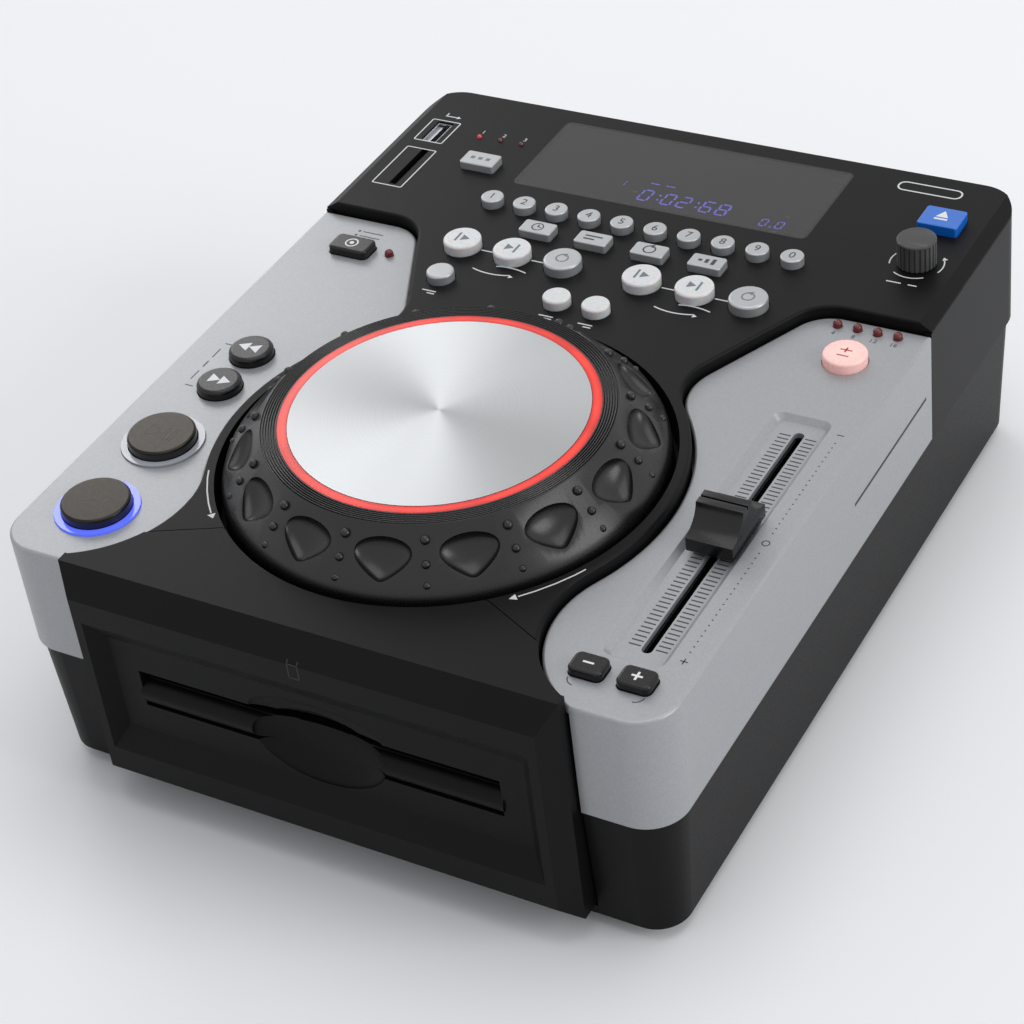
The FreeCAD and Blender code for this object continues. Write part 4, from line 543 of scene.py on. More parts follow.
def in_mm(point):
    return point.x / MM, point.y / MM


def in_plane(node):
    centre = box_centre(node)
    return centre.x, centre.y


def length_property(name, description, size_mm):
    return bpy.props.FloatProperty(name=name, description=description, default=size_mm * MM, unit="LENGTH")


def colour_property(name, description, code):
    """A colour that a user would change, from its sRGB hex code."""
    return bpy.props.FloatVectorProperty(
        name=name, description=description, subtype="COLOR", size=4, min=0.0, max=1.0, default=linear(code))


class PlayerSizes(bpy.types.PropertyGroup):
    """Sizes of the printing and trim that a user would change."""

    figure_height: length_property("Key figures", "Height of the figures on the keys", 3.3)
    tick_pitch: length_property("Fader tick spacing", "Spacing of the fader's ticks", 1.9)
    line_width: length_property("Printed lines", "Width of the printed outlines", 0.45)
    display_figure: length_property("Display figures", "Height of the time figures", 6.4)


class PlayerLooks(bpy.types.PropertyGroup):
    """Colours that a user would change."""

    pale_ink: colour_property("Printing", "Ink on the black deck", "#d9dadb")
    dark_ink: colour_property("Dark printing", "Ink on silver", "#262728")
    play_light: colour_property("Play light", "Light of the play button's ring", "#5468ff")
    display_light: colour_property("Display", "Colour of the lit time figures", "#8a80f0")


class PLAYER_OT_stage(bpy.types.Operator):
    """Set up the pale floor, the soft studio light and the camera"""

    bl_idname = "player.stage"
    bl_label = "Studio and camera"

    def execute(self, context):
        self.add_floor()
        self.add_world()
        self.add_lamps()
        self.add_camera()
        return {"FINISHED"}

    def add_floor(self):
        clear_selection()
        bpy.ops.mesh.primitive_plane_add(size=8, location=(0, 0, 0))
        floor = bpy.context.object
        floor.name = "studio_floor"
        made, tree, shader = start_material(
            "matt_white_backdrop_paint", "#f7f7f7", Roughness=0.9, Specular_IOR_Level=0.1)
        add_grain(tree, shader, 6.0, 0.02)
        floor.data.materials.append(made)

    def add_world(self):
        """Soft light all round, and plain white wherever the backdrop or a reflection of it is seen."""
        world = bpy.data.worlds.new("studio_world")
        bpy.context.scene.world = world
        world.use_nodes = True
        tree = world.node_tree
        tree.nodes.clear()
        path = add_node(tree, "LightPath").outputs
        direct = add_node(
            tree, "Math", {0: path["Is Camera Ray"], 1: path["Is Glossy Ray"]},
            operation="ADD").outputs["Value"]
        seen = add_node(
            tree, "Math", {0: direct, 1: path["Is Transmission Ray"]}, operation="ADD",
            use_clamp=True).outputs["Value"]
        plain = add_node(tree, "Background", {"Color": (0.93, 0.95, 1.0, 1.0), "Strength": 0.55})
        backdrop = add_node(tree, "Background", {"Color": (1.0, 1.0, 1.0, 1.0), "Strength": 1.0})
        mix = add_node(tree, "MixShader", {
            "Fac": seen, 1: plain.outputs["Background"], 2: backdrop.outputs["Background"]})
        add_node(tree, "OutputWorld", {"Surface": mix.outputs["Shader"]})

    def add_lamps(self):
        # Name, place, point aimed at, side length and power
        lamps = (
            ("overhead_softbox", (0.1, 0.2, 1.7), (0.0, 0.0, 0.05), 1.4, 9.0),
            ("right_softbox", (1.7, 0.1, 0.75), (0.0, 0.0, 0.05), 1.0, 12.0),
            ("rear_left_strip", (-1.3, 1.1, 1.0), (0.0, 0.0, 0.08), 0.7, 5.0),
        )
        for name, place, aim, size, power in lamps:
            clear_selection()
            bpy.ops.object.light_add(type="AREA", location=place)
            lamp = bpy.context.object
            lamp.name = name
            lamp.data.size = size
            lamp.data.energy = power
            lamp.rotation_euler = (Vector(aim) - Vector(place)).to_track_quat("-Z", "Y").to_euler()

    def add_camera(self):
        """The photograph's camera: its place in metres and its lens in millimetres."""
        place, lens, sensor = Vector((0.370622, -0.582837, 0.578395)), 93.62, 36.0
        azimuth, elevation, roll = (math.radians(angle) for angle in (33.329, 38.238, -7.769))
        level = math.cos(elevation)
        back = Vector((math.sin(azimuth) * level, -math.cos(azimuth) * level, math.sin(elevation)))
        right = Vector((math.cos(azimuth), math.sin(azimuth), 0))
        up = back.cross(right)
        across = math.cos(roll) * right + math.sin(roll) * up
        upward = math.cos(roll) * up - math.sin(roll) * right
        clear_selection()
        bpy.ops.object.camera_add()
        camera = bpy.context.object
        camera.name = "photo_camera"
        turned = Matrix((across, upward, back)).transposed().to_4x4()
        camera.matrix_world = Matrix.Translation(place) @ turned
        camera.data.lens = lens
        camera.data.sensor_width = sensor
        camera.data.clip_start = 0.05
        bpy.context.scene.camera = camera
        bpy.context.scene.view_settings.view_transform = "Standard"


class PLAYER_OT_finishes(bpy.types.Operator):
    """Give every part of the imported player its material"""

    bl_idname = "player.finishes"
    bl_label = "Finishes of the solid parts"

    def execute(self, context):
        black, silver = moulded_black_abs(), silver_lacquer()
        milky, key_silver, glossy = milky_plastic(), silver_key_paint(), glossy_black_key()
        soft, green = soft_black_knob(), circuit_board()
        chrome = dark_chrome(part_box("cue_button")[1].z - 0.9 * MM)
        steel = zinc_plate("bright_zinc_sheet", "#b9bcc0", (0.25, 0.42))
        dull = zinc_plate("passivated_steel", "#8f9296", (0.35, 0.5))
        finishes = {
            black: ("base_tub", "control_deck", "front_bezel", "rear_sockets", "display_module",
                    "laser_sled"),
            silver: ("left_side_cover", "right_side_cover"),
            satin_jog_abs(): ("jog_wheel",),
            spun_aluminium(): ("jog_disc",),
            red_light_pipe(): ("jog_light_ring",),
            clear_light_rings(in_plane("play_button")): ("button_light_rings",),
            lamp_plastic(self.lit_lamp()): ("indicator_leds",),
            smoked_acrylic(): ("display_window",),
            rosy_plastic(): ("pitch_button",),
            milky: ("loop_in_1", "loop_out_1", "loop_in_2", "loop_out_2", "reverse_key", "brake_key"),
            key_silver: tuple(f"number_key_{digit}" for digit in range(10)) + (
                "time_key", "play_mode_key", "repeat_key", "program_key", "reloop_1", "reloop_2", "tap_key",
                "source_key"),
            glossy: ("jog_mode_key", "search_back_key", "search_forward_key", "pitch_down_key",
                     "pitch_up_key", "power_switch", "fader_body"),
            chrome: ("cue_button", "play_button"),
            blue_key_plastic(): ("eject_key",),
            soft: ("track_knob", "fader_knob"),
            green: ("control_board", "main_board", "power_supply"),
            steel: ("drive_chassis", "media_board"),
            dull: ("case_screws", "disc_turntable"),
            feet_rubber(): ("rubber_feet", "loading_roller"),
        }
        for material, nodes in finishes.items():
            for node in nodes:
                part = frame["nodes"][node]
                part.data.materials.clear()
                part.data.materials.append(material)
        return {"FINISHED"}

    def lit_lamp(self):
        """The first source lamp is the lit one: it lies furthest left and back of the lamps."""
        lamps = frame["nodes"]["indicator_leds"].data.vertices
        rear = max(vertex.co.y for vertex in lamps)
        left = min(vertex.co.x for vertex in lamps if vertex.co.y > rear - 3 * MM)
        radius = 0.9 * MM
        return left + radius, rear - radius


class PLAYER_OT_key_figures(bpy.types.Operator):
    """Print the figures and signs on the keys"""

    bl_idname = "player.key_figures"
    bl_label = "Figures and signs on keys"

    def execute(self, context):
        dark = screen_ink("dark_key_ink", looks().dark_ink)
        pale = screen_ink("white_key_ink", "#e8e9ea")
        grey = screen_ink("grey_key_ink", "#6f7275")
        red = screen_ink("red_key_ink", "#b4534c")
        engraved = screen_ink("engraved_line_shade", "#3a3633")
        height = sizes().figure_height / MM
        for digit in range(10):
            self.sign(f"number_key_{digit}", dark, lambda x, y: [word(str(digit), x, y, height)])
        signs = (
            (dark, "time_key", self.clock),
            (dark, "play_mode_key", self.lines),
            (dark, "repeat_key", self.turn_back),
            (dark, "program_key", self.steps),
            (grey, "source_key", lambda x, y: [bar(x + shift, y, 1.6, 1.6) for shift in (-3, 0, 3)]),
            (grey, "loop_in_1", self.start_sign),
            (grey, "loop_out_1", self.end_sign),
            (grey, "reloop_1", self.turn_back),
            (grey, "loop_in_2", self.start_sign),
            (grey, "loop_out_2", self.end_sign),
            (grey, "reloop_2", self.turn_back),
            (pale, "jog_mode_key", lambda x, y: [band(x, y, 2.4, 0.5), polygon(x, y, 0.8, 16)]),
            (pale, "search_back_key", lambda x, y: [arrow(x + shift, y, 2.6, 180) for shift in (2.0, -1.9)]),
            (pale, "search_forward_key", lambda x, y: [arrow(x + shift, y, 2.6, 0) for shift in (-2.0, 1.9)]),
            (pale, "pitch_down_key", lambda x, y: [bar(x, y, 3.4, 0.7)]),
            (pale, "pitch_up_key", self.plus),
            (pale, "eject_key", lambda x, y: [arrow(x, y + 0.9, 2.5, 90), bar(x, y - 1.5, 4.6, 0.9)]),
            (red, "pitch_button", self.plus_minus),
            (engraved, "cue_button", self.outlined),
            (engraved, "play_button", self.outlined),
        )
        for ink, node, draw in signs:
            self.sign(node, ink, draw)
        return {"FINISHED"}

    def sign(self, node, ink, draw):
        """Print what draw gives for the middle of a key's top, in millimetres."""
        top = top_of(node)
        print_marks(draw(*in_mm(top)), f"{node}_sign", top.z, ink, BODY_OF[node])

    def clock(self, x, y):
        return [band(x, y, 2.2, 0.45), bar(x, y + 0.55, 0.45, 1.5), bar(x + 0.75, y, 1.05, 0.45)]

    def lines(self, x, y):
        return [bar(x, y + 0.9, 6.4, 0.7), bar(x - 1.2, y - 0.9, 4.0, 0.7)]

    def turn_back(self, x, y):
        arcs = [band(x, y, 2.3, 0.55, 100, 270), band(x, y, 2.3, 0.55, -85, 60)]
        return arcs + [arrow(x + 0.3, y + 2.05, 1.2, 180)]

    def steps(self, x, y):
        return [bar(x + shift, y, 1.3, height) for shift, height in ((-2.4, 1.2), (0, 2.2), (2.4, 3.2))]

    def start_sign(self, x, y):
        return [bar(x - 1.5, y, 0.8, 5.0), arrow(x + 1, y, 2.0, 0)]

    def end_sign(self, x, y):
        return [arrow(x - 1.2, y, 2.0, 0), bar(x + 1.8, y, 0.8, 5.0)]

    def plus(self, x, y):
        return [bar(x, y, 3.4, 0.7), bar(x, y + 1.03, 0.7, 1.35), bar(x, y - 1.03, 0.7, 1.35)]

    def plus_minus(self, x, y):
        return [bar(x, y + 1.1, 4.0, 0.6), bar(x, y + 1.1, 0.6, 2.8), bar(x, y - 2.0, 4.0, 0.6)]

    def outlined(self, x, y):
        """A triangle's outline and two outlined bars."""
        triangle = polygon(x - 3.2, y, 3.6, 3)
        keep_edge(triangle, 0.3)
        return [triangle] + [outline(x + shift, y, 1.7, 5.6, 0.3, 0.1) for shift in (1.6, 4.4)]


class PLAYER_OT_deck_print(bpy.types.Operator):
    """Print the outlines, arcs and arrows on the black deck"""

    bl_idname = "player.deck_print"
    bl_label = "Printing on the deck"

    def execute(self, context):
        ink = screen_ink("pale_deck_ink", looks().pale_ink)
        line = sizes().line_width / MM
        marks = self.media_marks(line) + self.knob_marks(line) + self.loop_marks() + self.jog_arrows(line)
        first_lamp, lamp_pitch, row = -81.4, 8.5, 119.9
        for index in range(3):
            marks.append(word(str(index + 1), first_lamp + lamp_pitch * index, row, 2.0))
        print_marks(marks, "deck_printing", DECK_TOP, ink)
        return {"FINISHED"}

    def media_marks(self, line):
        """Outlines of the media sockets, with an arrow behind them."""
        marks = [outline(-98.1, 115.3, 11.8, 15.0, line, 0.8), outline(-97.4, 90.2, 12.2, 25.8, line, 0.8)]
        marks += [bar(-98.1, 125.8, 5.0, 0.5), bar(-100.2, 126.8, 0.5, 2.0), arrow(-95.2, 125.8, 1.0, 0)]
        # A blank outlined plate in the rear right corner
        marks += [outline(83.0, 134.6, 23.0, 5.6, 0.6, 2.6)]
        return marks

    def knob_marks(self, line):
        """Three arcs with two arrow heads around the knob, and two strokes in front of it."""
        x, y = in_mm(top_of("track_knob"))
        reach = 9.1
        marks = [band(x, y, reach, line, start, end) for start, end in ((150, 200), (-20, 30), (235, 305))]
        for angle, turn in ((32, 125), (148, 55)):
            spot = math.radians(angle)
            marks.append(arrow(x + reach * math.cos(spot), y + reach * math.sin(spot), 1.1, turn))
        return marks + [bar(x - 3.0, y - 12.6, 5.0, 0.5), bar(x + 3.4, y - 12.6, 3.0, 0.5)]

    def loop_marks(self):
        """Lines that join the loop keys, the arcs in front of them, and strokes by the small keys."""
        marks = []
        key_and_gap = 14.2
        for group in (1, 2):
            places = [in_mm(top_of(f"{name}_{group}")) for name in ("loop_in", "loop_out", "reloop")]
            for (x0, y0), (x1, _y1) in zip(places, places[1:]):
                marks.append(bar((x0 + x1) / 2, y0, x1 - x0 - key_and_gap, 0.55))
            x, y = places[1]
            marks += [band(x - 2.5, y + 9.0, 21.0, 0.5, 250, 290)]
            marks += [band(x + 2.5, y - 27.2, 21.0, 0.5, 72, 104)]
            marks += [arrow(x + 5.0, y - 11.2, 1.0, 0)]
        for node in ("tap_key", "reverse_key", "brake_key"):
            x, y = in_mm(top_of(node))
            marks += [bar(x, y - 8.0, 5.2, 0.5), bar(x + 1.2, y - 9.3, 2.8, 0.5)]
        return marks

    def jog_arrows(self, line):
        """Curved arrows on both sides of the jog's front."""
        x, y = JOG.x / MM, JOG.y / MM
        reach, tip = 73.4, 73.1
        marks = [band(x, y, reach, line, 207, 224), band(x, y, reach, line, 316, 333)]
        for angle, turn in ((225, 315), (315, 225)):
            spot = math.radians(angle)
            marks.append(arrow(x + tip * math.cos(spot), y + tip * math.sin(spot), 1.5, turn))
        return marks


class PLAYER_OT_cover_print(bpy.types.Operator):
    """Print the fader's scale and the other marks on the silver covers"""

    bl_idname = "player.cover_print"
    bl_label = "Printing on the covers"

    def execute(self, context):
        ink = screen_ink("dark_cover_ink", looks().dark_ink)
        fader_x, fader_y = in_mm(top_of("fader_knob"))
        scale_shift = 12.6
        marks = self.scale_line(fader_x + scale_shift, fader_y) + self.lamp_figures() + self.search_marks()
        x, y = in_mm(top_of("pitch_down_key"))
        right = in_mm(top_of("pitch_up_key"))[0]
        marks += [band(x - 1.5, y - 4.4, 3.0, 0.35, 185, 265)]
        marks += [band(right + 1.5, y - 4.4, 3.0, 0.35, -85, -5)]
        print_marks(marks, "cover_printing", COVER_TOP, ink)
        self.fader_ticks(fader_x, fader_y, ink)
        return {"FINISHED"}

    def scale_line(self, x, y):
        """A dotted line with a ring at its middle, a minus at its back end and a plus at its front."""
        dot_pitch, end = 2.4, 54.5
        marks = [polygon(x, y + step * dot_pitch, 0.28, 8) for step in range(-21, 22) if abs(step) > 1]
        marks += [band(x, y, 1.3, 0.35), bar(x, y + end, 2.4, 0.4)]
        return marks + [bar(x, y - end, 2.4, 0.4), bar(x, y - end, 0.4, 2.4)]

    def lamp_figures(self):
        """Figures in front of the pitch lamps, and two dotted lines behind the mode key."""
        last_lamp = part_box("indicator_leds")[1].x / MM - 1.5
        lamp_pitch, row = 6.8, 56.0
        marks = []
        for index, figure in enumerate(("4", "8", "12", "16")):
            marks.append(word(figure, last_lamp - lamp_pitch * (3 - index), row - 4.0, 1.9))
        x, y = in_mm(top_of("jog_mode_key"))
        for line in (y + 8.6, y + 11.2):
            marks += [polygon(x - 4.0, line, 0.55, 12), bar(x + 1.4, line, 8.0, 0.45)]
        return marks

    def search_marks(self):
        """A broken bracket beside the two search keys."""
        x, back = in_mm(top_of("search_back_key"))
        forward = in_mm(top_of("search_forward_key"))[1]
        middle, stem = (back + forward) / 2, x - 12.0
        marks = [bar(stem, middle + 6.4, 0.4, 5.0), bar(stem, middle - 6.4, 0.4, 5.0)]
        marks += [bar(stem, middle, 0.5, 3.4)]
        return marks + [bar(x - 10.6, back + 2.5, 3.0, 0.4), bar(x - 10.6, forward - 2.5, 3.0, 0.4)]

    def fader_ticks(self, x, y, ink):
        """One tick is modelled and repeated down both sides of the slot, on the recess's floor."""
        pitch = sizes().tick_pitch
        count = 55
        first_y = y - (count - 1) * pitch / MM / 2
        marks = []
        for side in (-1, 1):
            tick = bar(x + side * 4.2, first_y, 3.7, 0.5)
            apply_modifier(
                tick, "ARRAY", count=count, use_relative_offset=False, use_constant_offset=True,
                constant_offset_displace=(0, pitch, 0))
            marks.append(tick)
        recess_depth = 1.8 * MM
        print_marks(marks, "fader_ticks", COVER_TOP - recess_depth, ink)


class PLAYER_OT_display(bpy.types.Operator):
    """Light the figures under the display window"""

    bl_idname = "player.display"
    bl_label = "Display figures"

    # Bars of a figure: top, upper left, upper right, middle, lower left, lower right, bottom
    FIGURES = {"0": "1110111", "1": "0010010", "2": "1011101", "6": "1101111", "8": "1111111"}

    def execute(self, context):
        glow = display_glow("lit_violet_segments", looks().display_light, 9.0)
        faint = display_glow("unlit_red_segments", "#b03a50", 5.0)
        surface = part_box("display_module")[1].z
        height = sizes().display_figure / MM
        marks = []
        # Middle of the first figure of the time
        x, y = -8.0, 102.4
        for sign in "0:02:68":
            if sign == ":":
                marks += [bar(x - 0.9, y + 1.4, 0.8, 0.8), bar(x - 0.9, y - 1.4, 0.8, 0.8)]
                x += 2.8
            else:
                marks += self.figure(sign, x, y, height)
                x += height * 0.92
        marks += self.figure("0", 37.4, 99.9, 4.0) + [bar(40.4, 98.1, 0.6, 0.6)]
        marks += self.figure("0", 43.2, 99.9, 4.0)
        marks += self.figure("1", -19.0, 107.2, 3.0)
        marks += [bar(x0, 110.0, 3.4, 0.5) for x0 in (-8.0, -2.0)]
        print_marks(marks, "display_figures", surface, glow, "case")
        red = [bar(-12.4, 103.2, 1.6, 0.8), bar(43.8, 105.6, 1.4, 0.8), bar(43.1, 95.7, 1.4, 0.8)]
        print_marks(red, "display_red_marks", surface, faint, "case")
        # A near-black ring of painted shade round the window, where its raised edge and the gap beside it
        # fall in shade
        low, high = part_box("display_window")
        middle, size = (low + high) / 2 / MM, (high - low) / MM
        edge = outline(middle.x, middle.y, size.x + 0.8, size.y + 0.8, 0.9, 2.4)
        shade = screen_ink("window_gap_painted_shade", "#050505")
        print_marks([edge], "window_edge_painted_shade", DECK_TOP, shade, "case")
        return {"FINISHED"}

    def figure(self, sign, x, y, height):
        """The lit bars of one leaning figure."""
        half, wide, thick = height / 2, height * 0.28, height * 0.11
        bars = (
            (0, half, False), (-wide, half / 2, True), (wide, half / 2, True), (0, 0, False),
            (-wide, -half / 2, True), (wide, -half / 2, True), (0, -half, False),
        )
        marks = []
        for on, (dx, dy, upright) in zip(self.FIGURES[sign], bars):
            if on == "1":
                lean = 0.12 * dy
                size = (thick, half - thick) if upright else (2 * wide - thick, thick)
                marks.append(bar(x + dx + lean, y + dy, *size))
        return marks


class PLAYER_OT_jog_wheel(bpy.types.Operator):
    """Turn the jog wheel's shell, and give it its finger scoops and grip bumps"""

    bl_idname = "player.jog_wheel"
    bl_label = "Jog wheel"

    # Scoops round the skirt, degrees from the X axis to the first one, and steps of the turned shell
    SCOOPS = 15
    PHASE = 19.4
    STEPS = 180

    def execute(self, context):
        shell = self.turn(self.section())
        cutter = self.scoop()
        apply_modifier(shell, "BOOLEAN", object=cutter, operation="DIFFERENCE", solver="EXACT")
        bpy.data.objects.remove(cutter)
        apply_modifier(shell, "BEVEL", width=0.25 * MM, segments=2, limit_method="ANGLE", angle_limit=0.5)
        only(shell)
        bpy.ops.object.shade_smooth_by_angle(angle=math.radians(38))
        join_all([shell, self.bumps()])
        satin = bpy.data.materials["satin_moulded_jog_abs"]
        settle(shell, "jog_shell", satin, BODY_OF["jog_wheel"])
        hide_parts("jog_wheel")
        return {"FINISHED"}

    def section(self):
        """Half section in millimetres from the axis and the deck's top."""
        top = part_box("jog_light_ring")[1].z / MM - DECK_TOP / MM
        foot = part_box("jog_wheel")[0].z / MM - DECK_TOP / MM
        seat, rim, web = JOG_LIGHT_RADIUS / MM + 0.1, 54.7, top - 2.1
        hub, wall, groove_pitch, groove_depth = 10.0, 3.4, 0.8, 0.55
        points = [(hub, foot), (hub, web), (seat, web), (seat, top)]
        for groove in range(6):
            start, bottom = seat + 0.35 + groove_pitch * groove, top - groove_depth
            points += [(start, top), (start + 0.2, bottom), (start + 0.45, bottom), (start + 0.6, top)]
        # Outside, from the rim down to the foot
        points += [(rim - 0.3, top - 0.1), (rim, top - 0.5), (rim + 8.2, top - 8.4), (67.5, 3.0), (68.7, 0.0)]
        # Inside, from the foot up under the web and down the hub
        points += [(69.3, foot), (69.3 - wall, foot), (68.7 - wall, -1.0), (62.9 - wall, top - 8.4 - wall),
                   (rim - wall, web - wall), (hub + 2.0, web - wall), (hub + 2.0, foot)]
        return points

    def turn(self, points):
        """Lay a closed loop along the section and spin it about the axis."""
        clear_selection()
        bpy.ops.mesh.primitive_circle_add(vertices=len(points), radius=MM, fill_type="NOTHING")
        shell = bpy.context.object
        for vertex, (reach, height) in zip(shell.data.vertices, points):
            vertex.co = (reach * MM, 0, height * MM)
        edit_all(shell)
        bpy.ops.mesh.spin(steps=self.STEPS, angle=2 * math.pi, center=(0, 0, 0), axis=(0, 0, 1))
        bpy.ops.mesh.select_all(action="SELECT")
        bpy.ops.mesh.remove_doubles(threshold=1e-6)
        bpy.ops.mesh.normals_make_consistent(inside=False)
        bpy.ops.object.mode_set(mode="OBJECT")
        shell.location = (JOG.x, JOG.y, DECK_TOP)
        apply_place()
        return shell

    def scoop(self):
        """A flattened ball, wide towards the rim and narrow towards the foot, copied round the axis."""
        clear_selection()
        bpy.ops.mesh.primitive_uv_sphere_add(segments=48, ring_count=32, radius=1)
        ball = bpy.context.object
        taper, rounding = 0.42, 0.12
        for vertex in ball.data.vertices:
            reach = vertex.co.x
            vertex.co.y *= 1.0 - taper * reach - rounding * reach * reach
        ball.scale = (6.6 * MM, 8.3 * MM, 3.6 * MM)
        ball.rotation_euler = (0, math.radians(45), 0)
        ball.location = (61.6 * MM, 0, 9.3 * MM)
        apply_place()
        return self.copy_round(ball, self.PHASE)

    def bumps(self):
        """Three grip bumps in a row, midway between scoops."""
        # Each bump's distance from the axis, height above the deck's top and radius
        row = []
        for reach, height, radius in ((57.6, 13.4, 1.5), (62.6, 8.4, 1.35), (66.3, 3.6, 1.2)):
            clear_selection()
            bpy.ops.mesh.primitive_uv_sphere_add(
                segments=20, ring_count=12, radius=radius * MM, location=(reach * MM, 0, height * MM))
            apply_place()
            bpy.ops.object.shade_smooth()
            row.append(bpy.context.object)
        return self.copy_round(join_all(row), self.PHASE + 180 / self.SCOOPS)

    def copy_round(self, piece, phase):
        """Repeat a piece around the wheel's axis, and join the copies."""
        copies = [piece]
        while len(copies) < self.SCOOPS:
            only(piece)
            bpy.ops.object.duplicate()
            copies.append(bpy.context.object)
        for index, copy in enumerate(copies):
            copy.rotation_euler = (0, 0, math.radians(phase + 360 / self.SCOOPS * index))
            copy.location = (JOG.x, JOG.y, DECK_TOP)
        joined = join_all(copies)
        apply_place()
        return joined


class PLAYER_OT_fader_cap(bpy.types.Operator):
    """Model the fader's cap: two finger hollows with a grooved ridge between them"""

    bl_idname = "player.fader_cap"
    bl_label = "Fader cap"

    def execute(self, context):
        low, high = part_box("fader_knob")
        centre = (low + high) / 2
        base = COVER_TOP + 0.2 * MM
        wide, long, tall = high.x - low.x, high.y - low.y, high.z - base
        cap = self.block(centre, base, high.z, wide, long)
        # Half the ridge's thickness, the ends' height, and how far outside the cap the hollows' centres lie
        ridge, floor, out, over = 2.9 * MM, 4.4 * MM, 1.5 * MM, 1.0 * MM
        for side in (-1, 1):
            hollow = (centre.x, centre.y + side * (long / 2 + out), high.z + over)
            self.cut_hollow(cap, hollow, long / 2 + out - ridge, tall + over - floor)
        self.cut_hollow(cap, (centre.x, centre.y, high.z), 0.35 * MM, 1.4 * MM)
        apply_modifier(cap, "BEVEL", width=0.55 * MM, segments=3, limit_method="ANGLE", angle_limit=0.6)
        only(cap)
        bpy.ops.object.shade_smooth_by_angle(angle=math.radians(35))
        blade = self.block(centre, low.z, base + 1 * MM, 1.6 * MM, 5.0 * MM)
        join_all([cap, blade])
        glossy = bpy.data.materials["polished_black_key_abs"]
        settle(cap, "fader_cap", glossy, BODY_OF["fader_knob"])
        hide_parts("fader_knob")
        return {"FINISHED"}

    def cut_hollow(self, cap, place, reach, drop):
        """Cut an oval trough that runs from left to right."""
        clear_selection()
        bpy.ops.mesh.primitive_cylinder_add(
            vertices=96, radius=1, depth=60 * MM, location=place, rotation=(0, math.radians(90), 0))
        cutter = bpy.context.object
        bpy.ops.object.transform_apply(location=False, rotation=True, scale=False)
        cutter.scale = (1, reach, drop)
        bpy.ops.object.transform_apply(location=False, rotation=False, scale=True)
        apply_modifier(cap, "BOOLEAN", object=cutter, operation="DIFFERENCE", solver="EXACT")
        bpy.data.objects.remove(cutter)

    def block(self, centre, foot, top, wide, long):
        """A box about an upright axis, between two heights."""
        clear_selection()
        bpy.ops.mesh.primitive_cube_add(size=1, location=(centre.x, centre.y, (foot + top) / 2))
        piece = bpy.context.object
        piece.scale = (wide, long, top - foot)
        apply_place()
        return piece


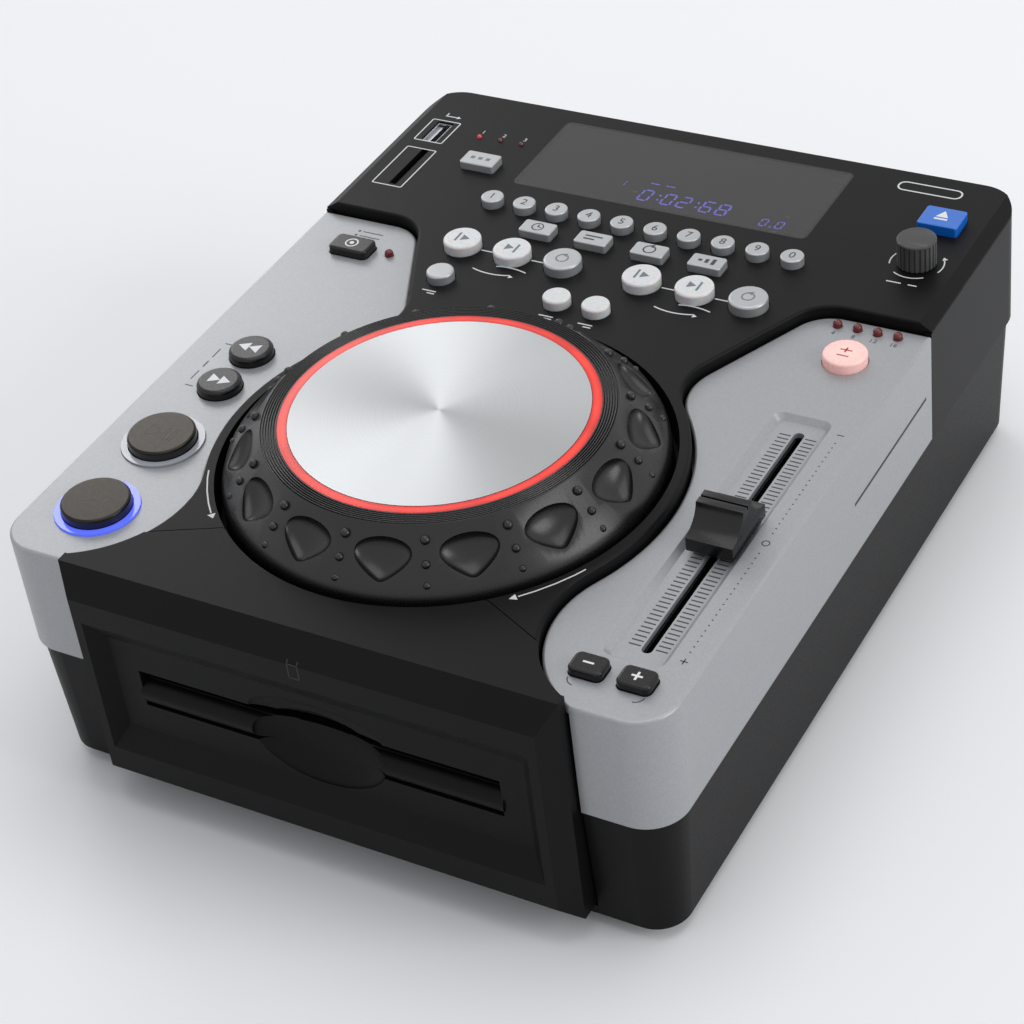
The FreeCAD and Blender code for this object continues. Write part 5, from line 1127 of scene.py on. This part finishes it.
class PLAYER_OT_front_details(bpy.types.Operator):
    """Add painted shade in the front tab's outline, the side groove and the screws' recesses, and the
    sockets' rims
    """

    bl_idname = "player.front_details"
    bl_label = "Tab, groove, sockets and screws"

    # Thickness of the strips of painted shade that draw grooves, in millimetres
    FILM = 0.06

    def execute(self, context):
        shade = screen_ink("deep_groove_shade", "#060606")
        self.tab(shade)
        self.side_groove(shade)
        self.socket_trim()
        self.screw_crosses(shade)
        return {"FINISHED"}

    def tab(self, shade):
        """A thin outline of painted shade where the tab's groove runs on the face, and its two sides up over
        the bevel.
        """
        line, middle, half = 0.4, 0.6, 1.7
        low, top, bevel_top = 79.7, 84.9, 90.2
        face = FACE_Y / MM
        lean = -math.atan2(4.2, bevel_top - top)
        marks = []
        for x in (middle - half, middle + half):
            marks.append(self.strip((x, face, (low + top) / 2), (line, self.FILM, top - low), 0))
            slope = (x, face + 2.1, (top + bevel_top) / 2 - 0.1)
            marks.append(self.strip(slope, (line, self.FILM, 6.8), lean))
        for z, y in ((low, face), (top, face), (bevel_top, face + 4.1)):
            marks.append(self.strip((middle, y, z), (3.8, self.FILM, line), 0))
        join_all(marks)
        settle(marks[0], "front_tab_groove_painted_shade", shade, "case")

    def side_groove(self, shade):
        """The dark line of painted shade along the right cover's side groove."""
        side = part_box("right_side_cover")[1].x / MM
        groove = self.strip((side, 26.8, 69.0), (self.FILM, 58.0, 1.1), 0)
        settle(groove, "side_groove_shade", shade, "case")

    def strip(self, place, size, lean):
        """A thin strip in millimetres, leaning back about the X axis."""
        clear_selection()
        bpy.ops.mesh.primitive_cube_add(
            size=MM, location=[value * MM for value in place], rotation=(lean, 0, 0))
        piece = bpy.context.object
        piece.scale = size
        apply_place()
        return piece

    def socket_trim(self):
        """Metal rims on the line sockets and the jack."""
        low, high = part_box("rear_sockets")
        middle = (low.z + high.z) / 2
        metal = zinc_plate("nickel_plated_contacts", "#c9cbcd", (0.16, 0.28))
        # Each socket's place from left to right, its radius and how far in front of the bay its mouth lies
        sockets = ((-48, 4.2, 2.0), (-32, 4.2, 2.0), (-16, 4.2, 2.0), (2, 4.0, 5.5))
        tube = 0.55
        rims = []
        for x, radius, reach in sockets:
            clear_selection()
            bpy.ops.mesh.primitive_torus_add(
                major_radius=(radius - 0.9) * MM, minor_radius=tube * MM,
                major_segments=40, minor_segments=10,
                rotation=(math.radians(90), 0, 0),
                location=(x * MM, high.y - reach * MM, middle))
            rims.append(bpy.context.object)
        join_all(rims)
        bpy.ops.object.shade_smooth()
        settle(rims[0], "socket_rims", metal, "case")

    def screw_crosses(self, shade):
        """Dark crosses of painted shade where the case screws' heads have cross recesses, seen from below."""
        low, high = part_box("case_screws")
        head = 3.0
        marks = []
        for x in (high.x / MM - head, head - high.x / MM):
            for y in (low.y / MM + head, high.y / MM - head):
                marks += [bar(x, y, 3.6, 0.9), bar(x, y + 1.15, 0.9, 1.3), bar(x, y - 1.15, 0.9, 1.3)]
        print_marks(marks, "screw_recess_painted_shade", low.z, shade, "case", 0.06)


class PLAYER_PT_parts(bpy.types.Panel):
    """Lists the steps that dress the player"""

    bl_idname = "PLAYER_PT_parts"
    bl_label = "Disc Player"
    bl_space_type = "VIEW_3D"
    bl_region_type = "UI"
    bl_category = "Disc Player"

    def draw(self, context):
        layout = self.layout
        for operator in OPERATORS:
            layout.operator(operator.bl_idname)
        for group in (context.scene.player_sizes, context.scene.player_looks):
            for name in group.__annotations__:
                layout.prop(group, name)


OPERATORS = (
    PLAYER_OT_stage,
    PLAYER_OT_finishes,
    PLAYER_OT_key_figures,
    PLAYER_OT_deck_print,
    PLAYER_OT_cover_print,
    PLAYER_OT_display,
    PLAYER_OT_jog_wheel,
    PLAYER_OT_fader_cap,
    PLAYER_OT_front_details,
)
CLASSES = (PlayerSizes, PlayerLooks) + OPERATORS + (PLAYER_PT_parts,)


def register():
    for item in CLASSES:
        bpy.utils.register_class(item)
    bpy.types.Scene.player_sizes = bpy.props.PointerProperty(type=PlayerSizes)
    bpy.types.Scene.player_looks = bpy.props.PointerProperty(type=PlayerLooks)


def unregister():
    del bpy.types.Scene.player_looks
    del bpy.types.Scene.player_sizes
    for item in reversed(CLASSES):
        bpy.utils.unregister_class(item)


def main():
    """Dress the whole player."""
    register()
    for operator in OPERATORS:
        group, name = operator.bl_idname.split(".")
        getattr(getattr(bpy.ops, group), name)()


if __name__ == "__main__":
    main()
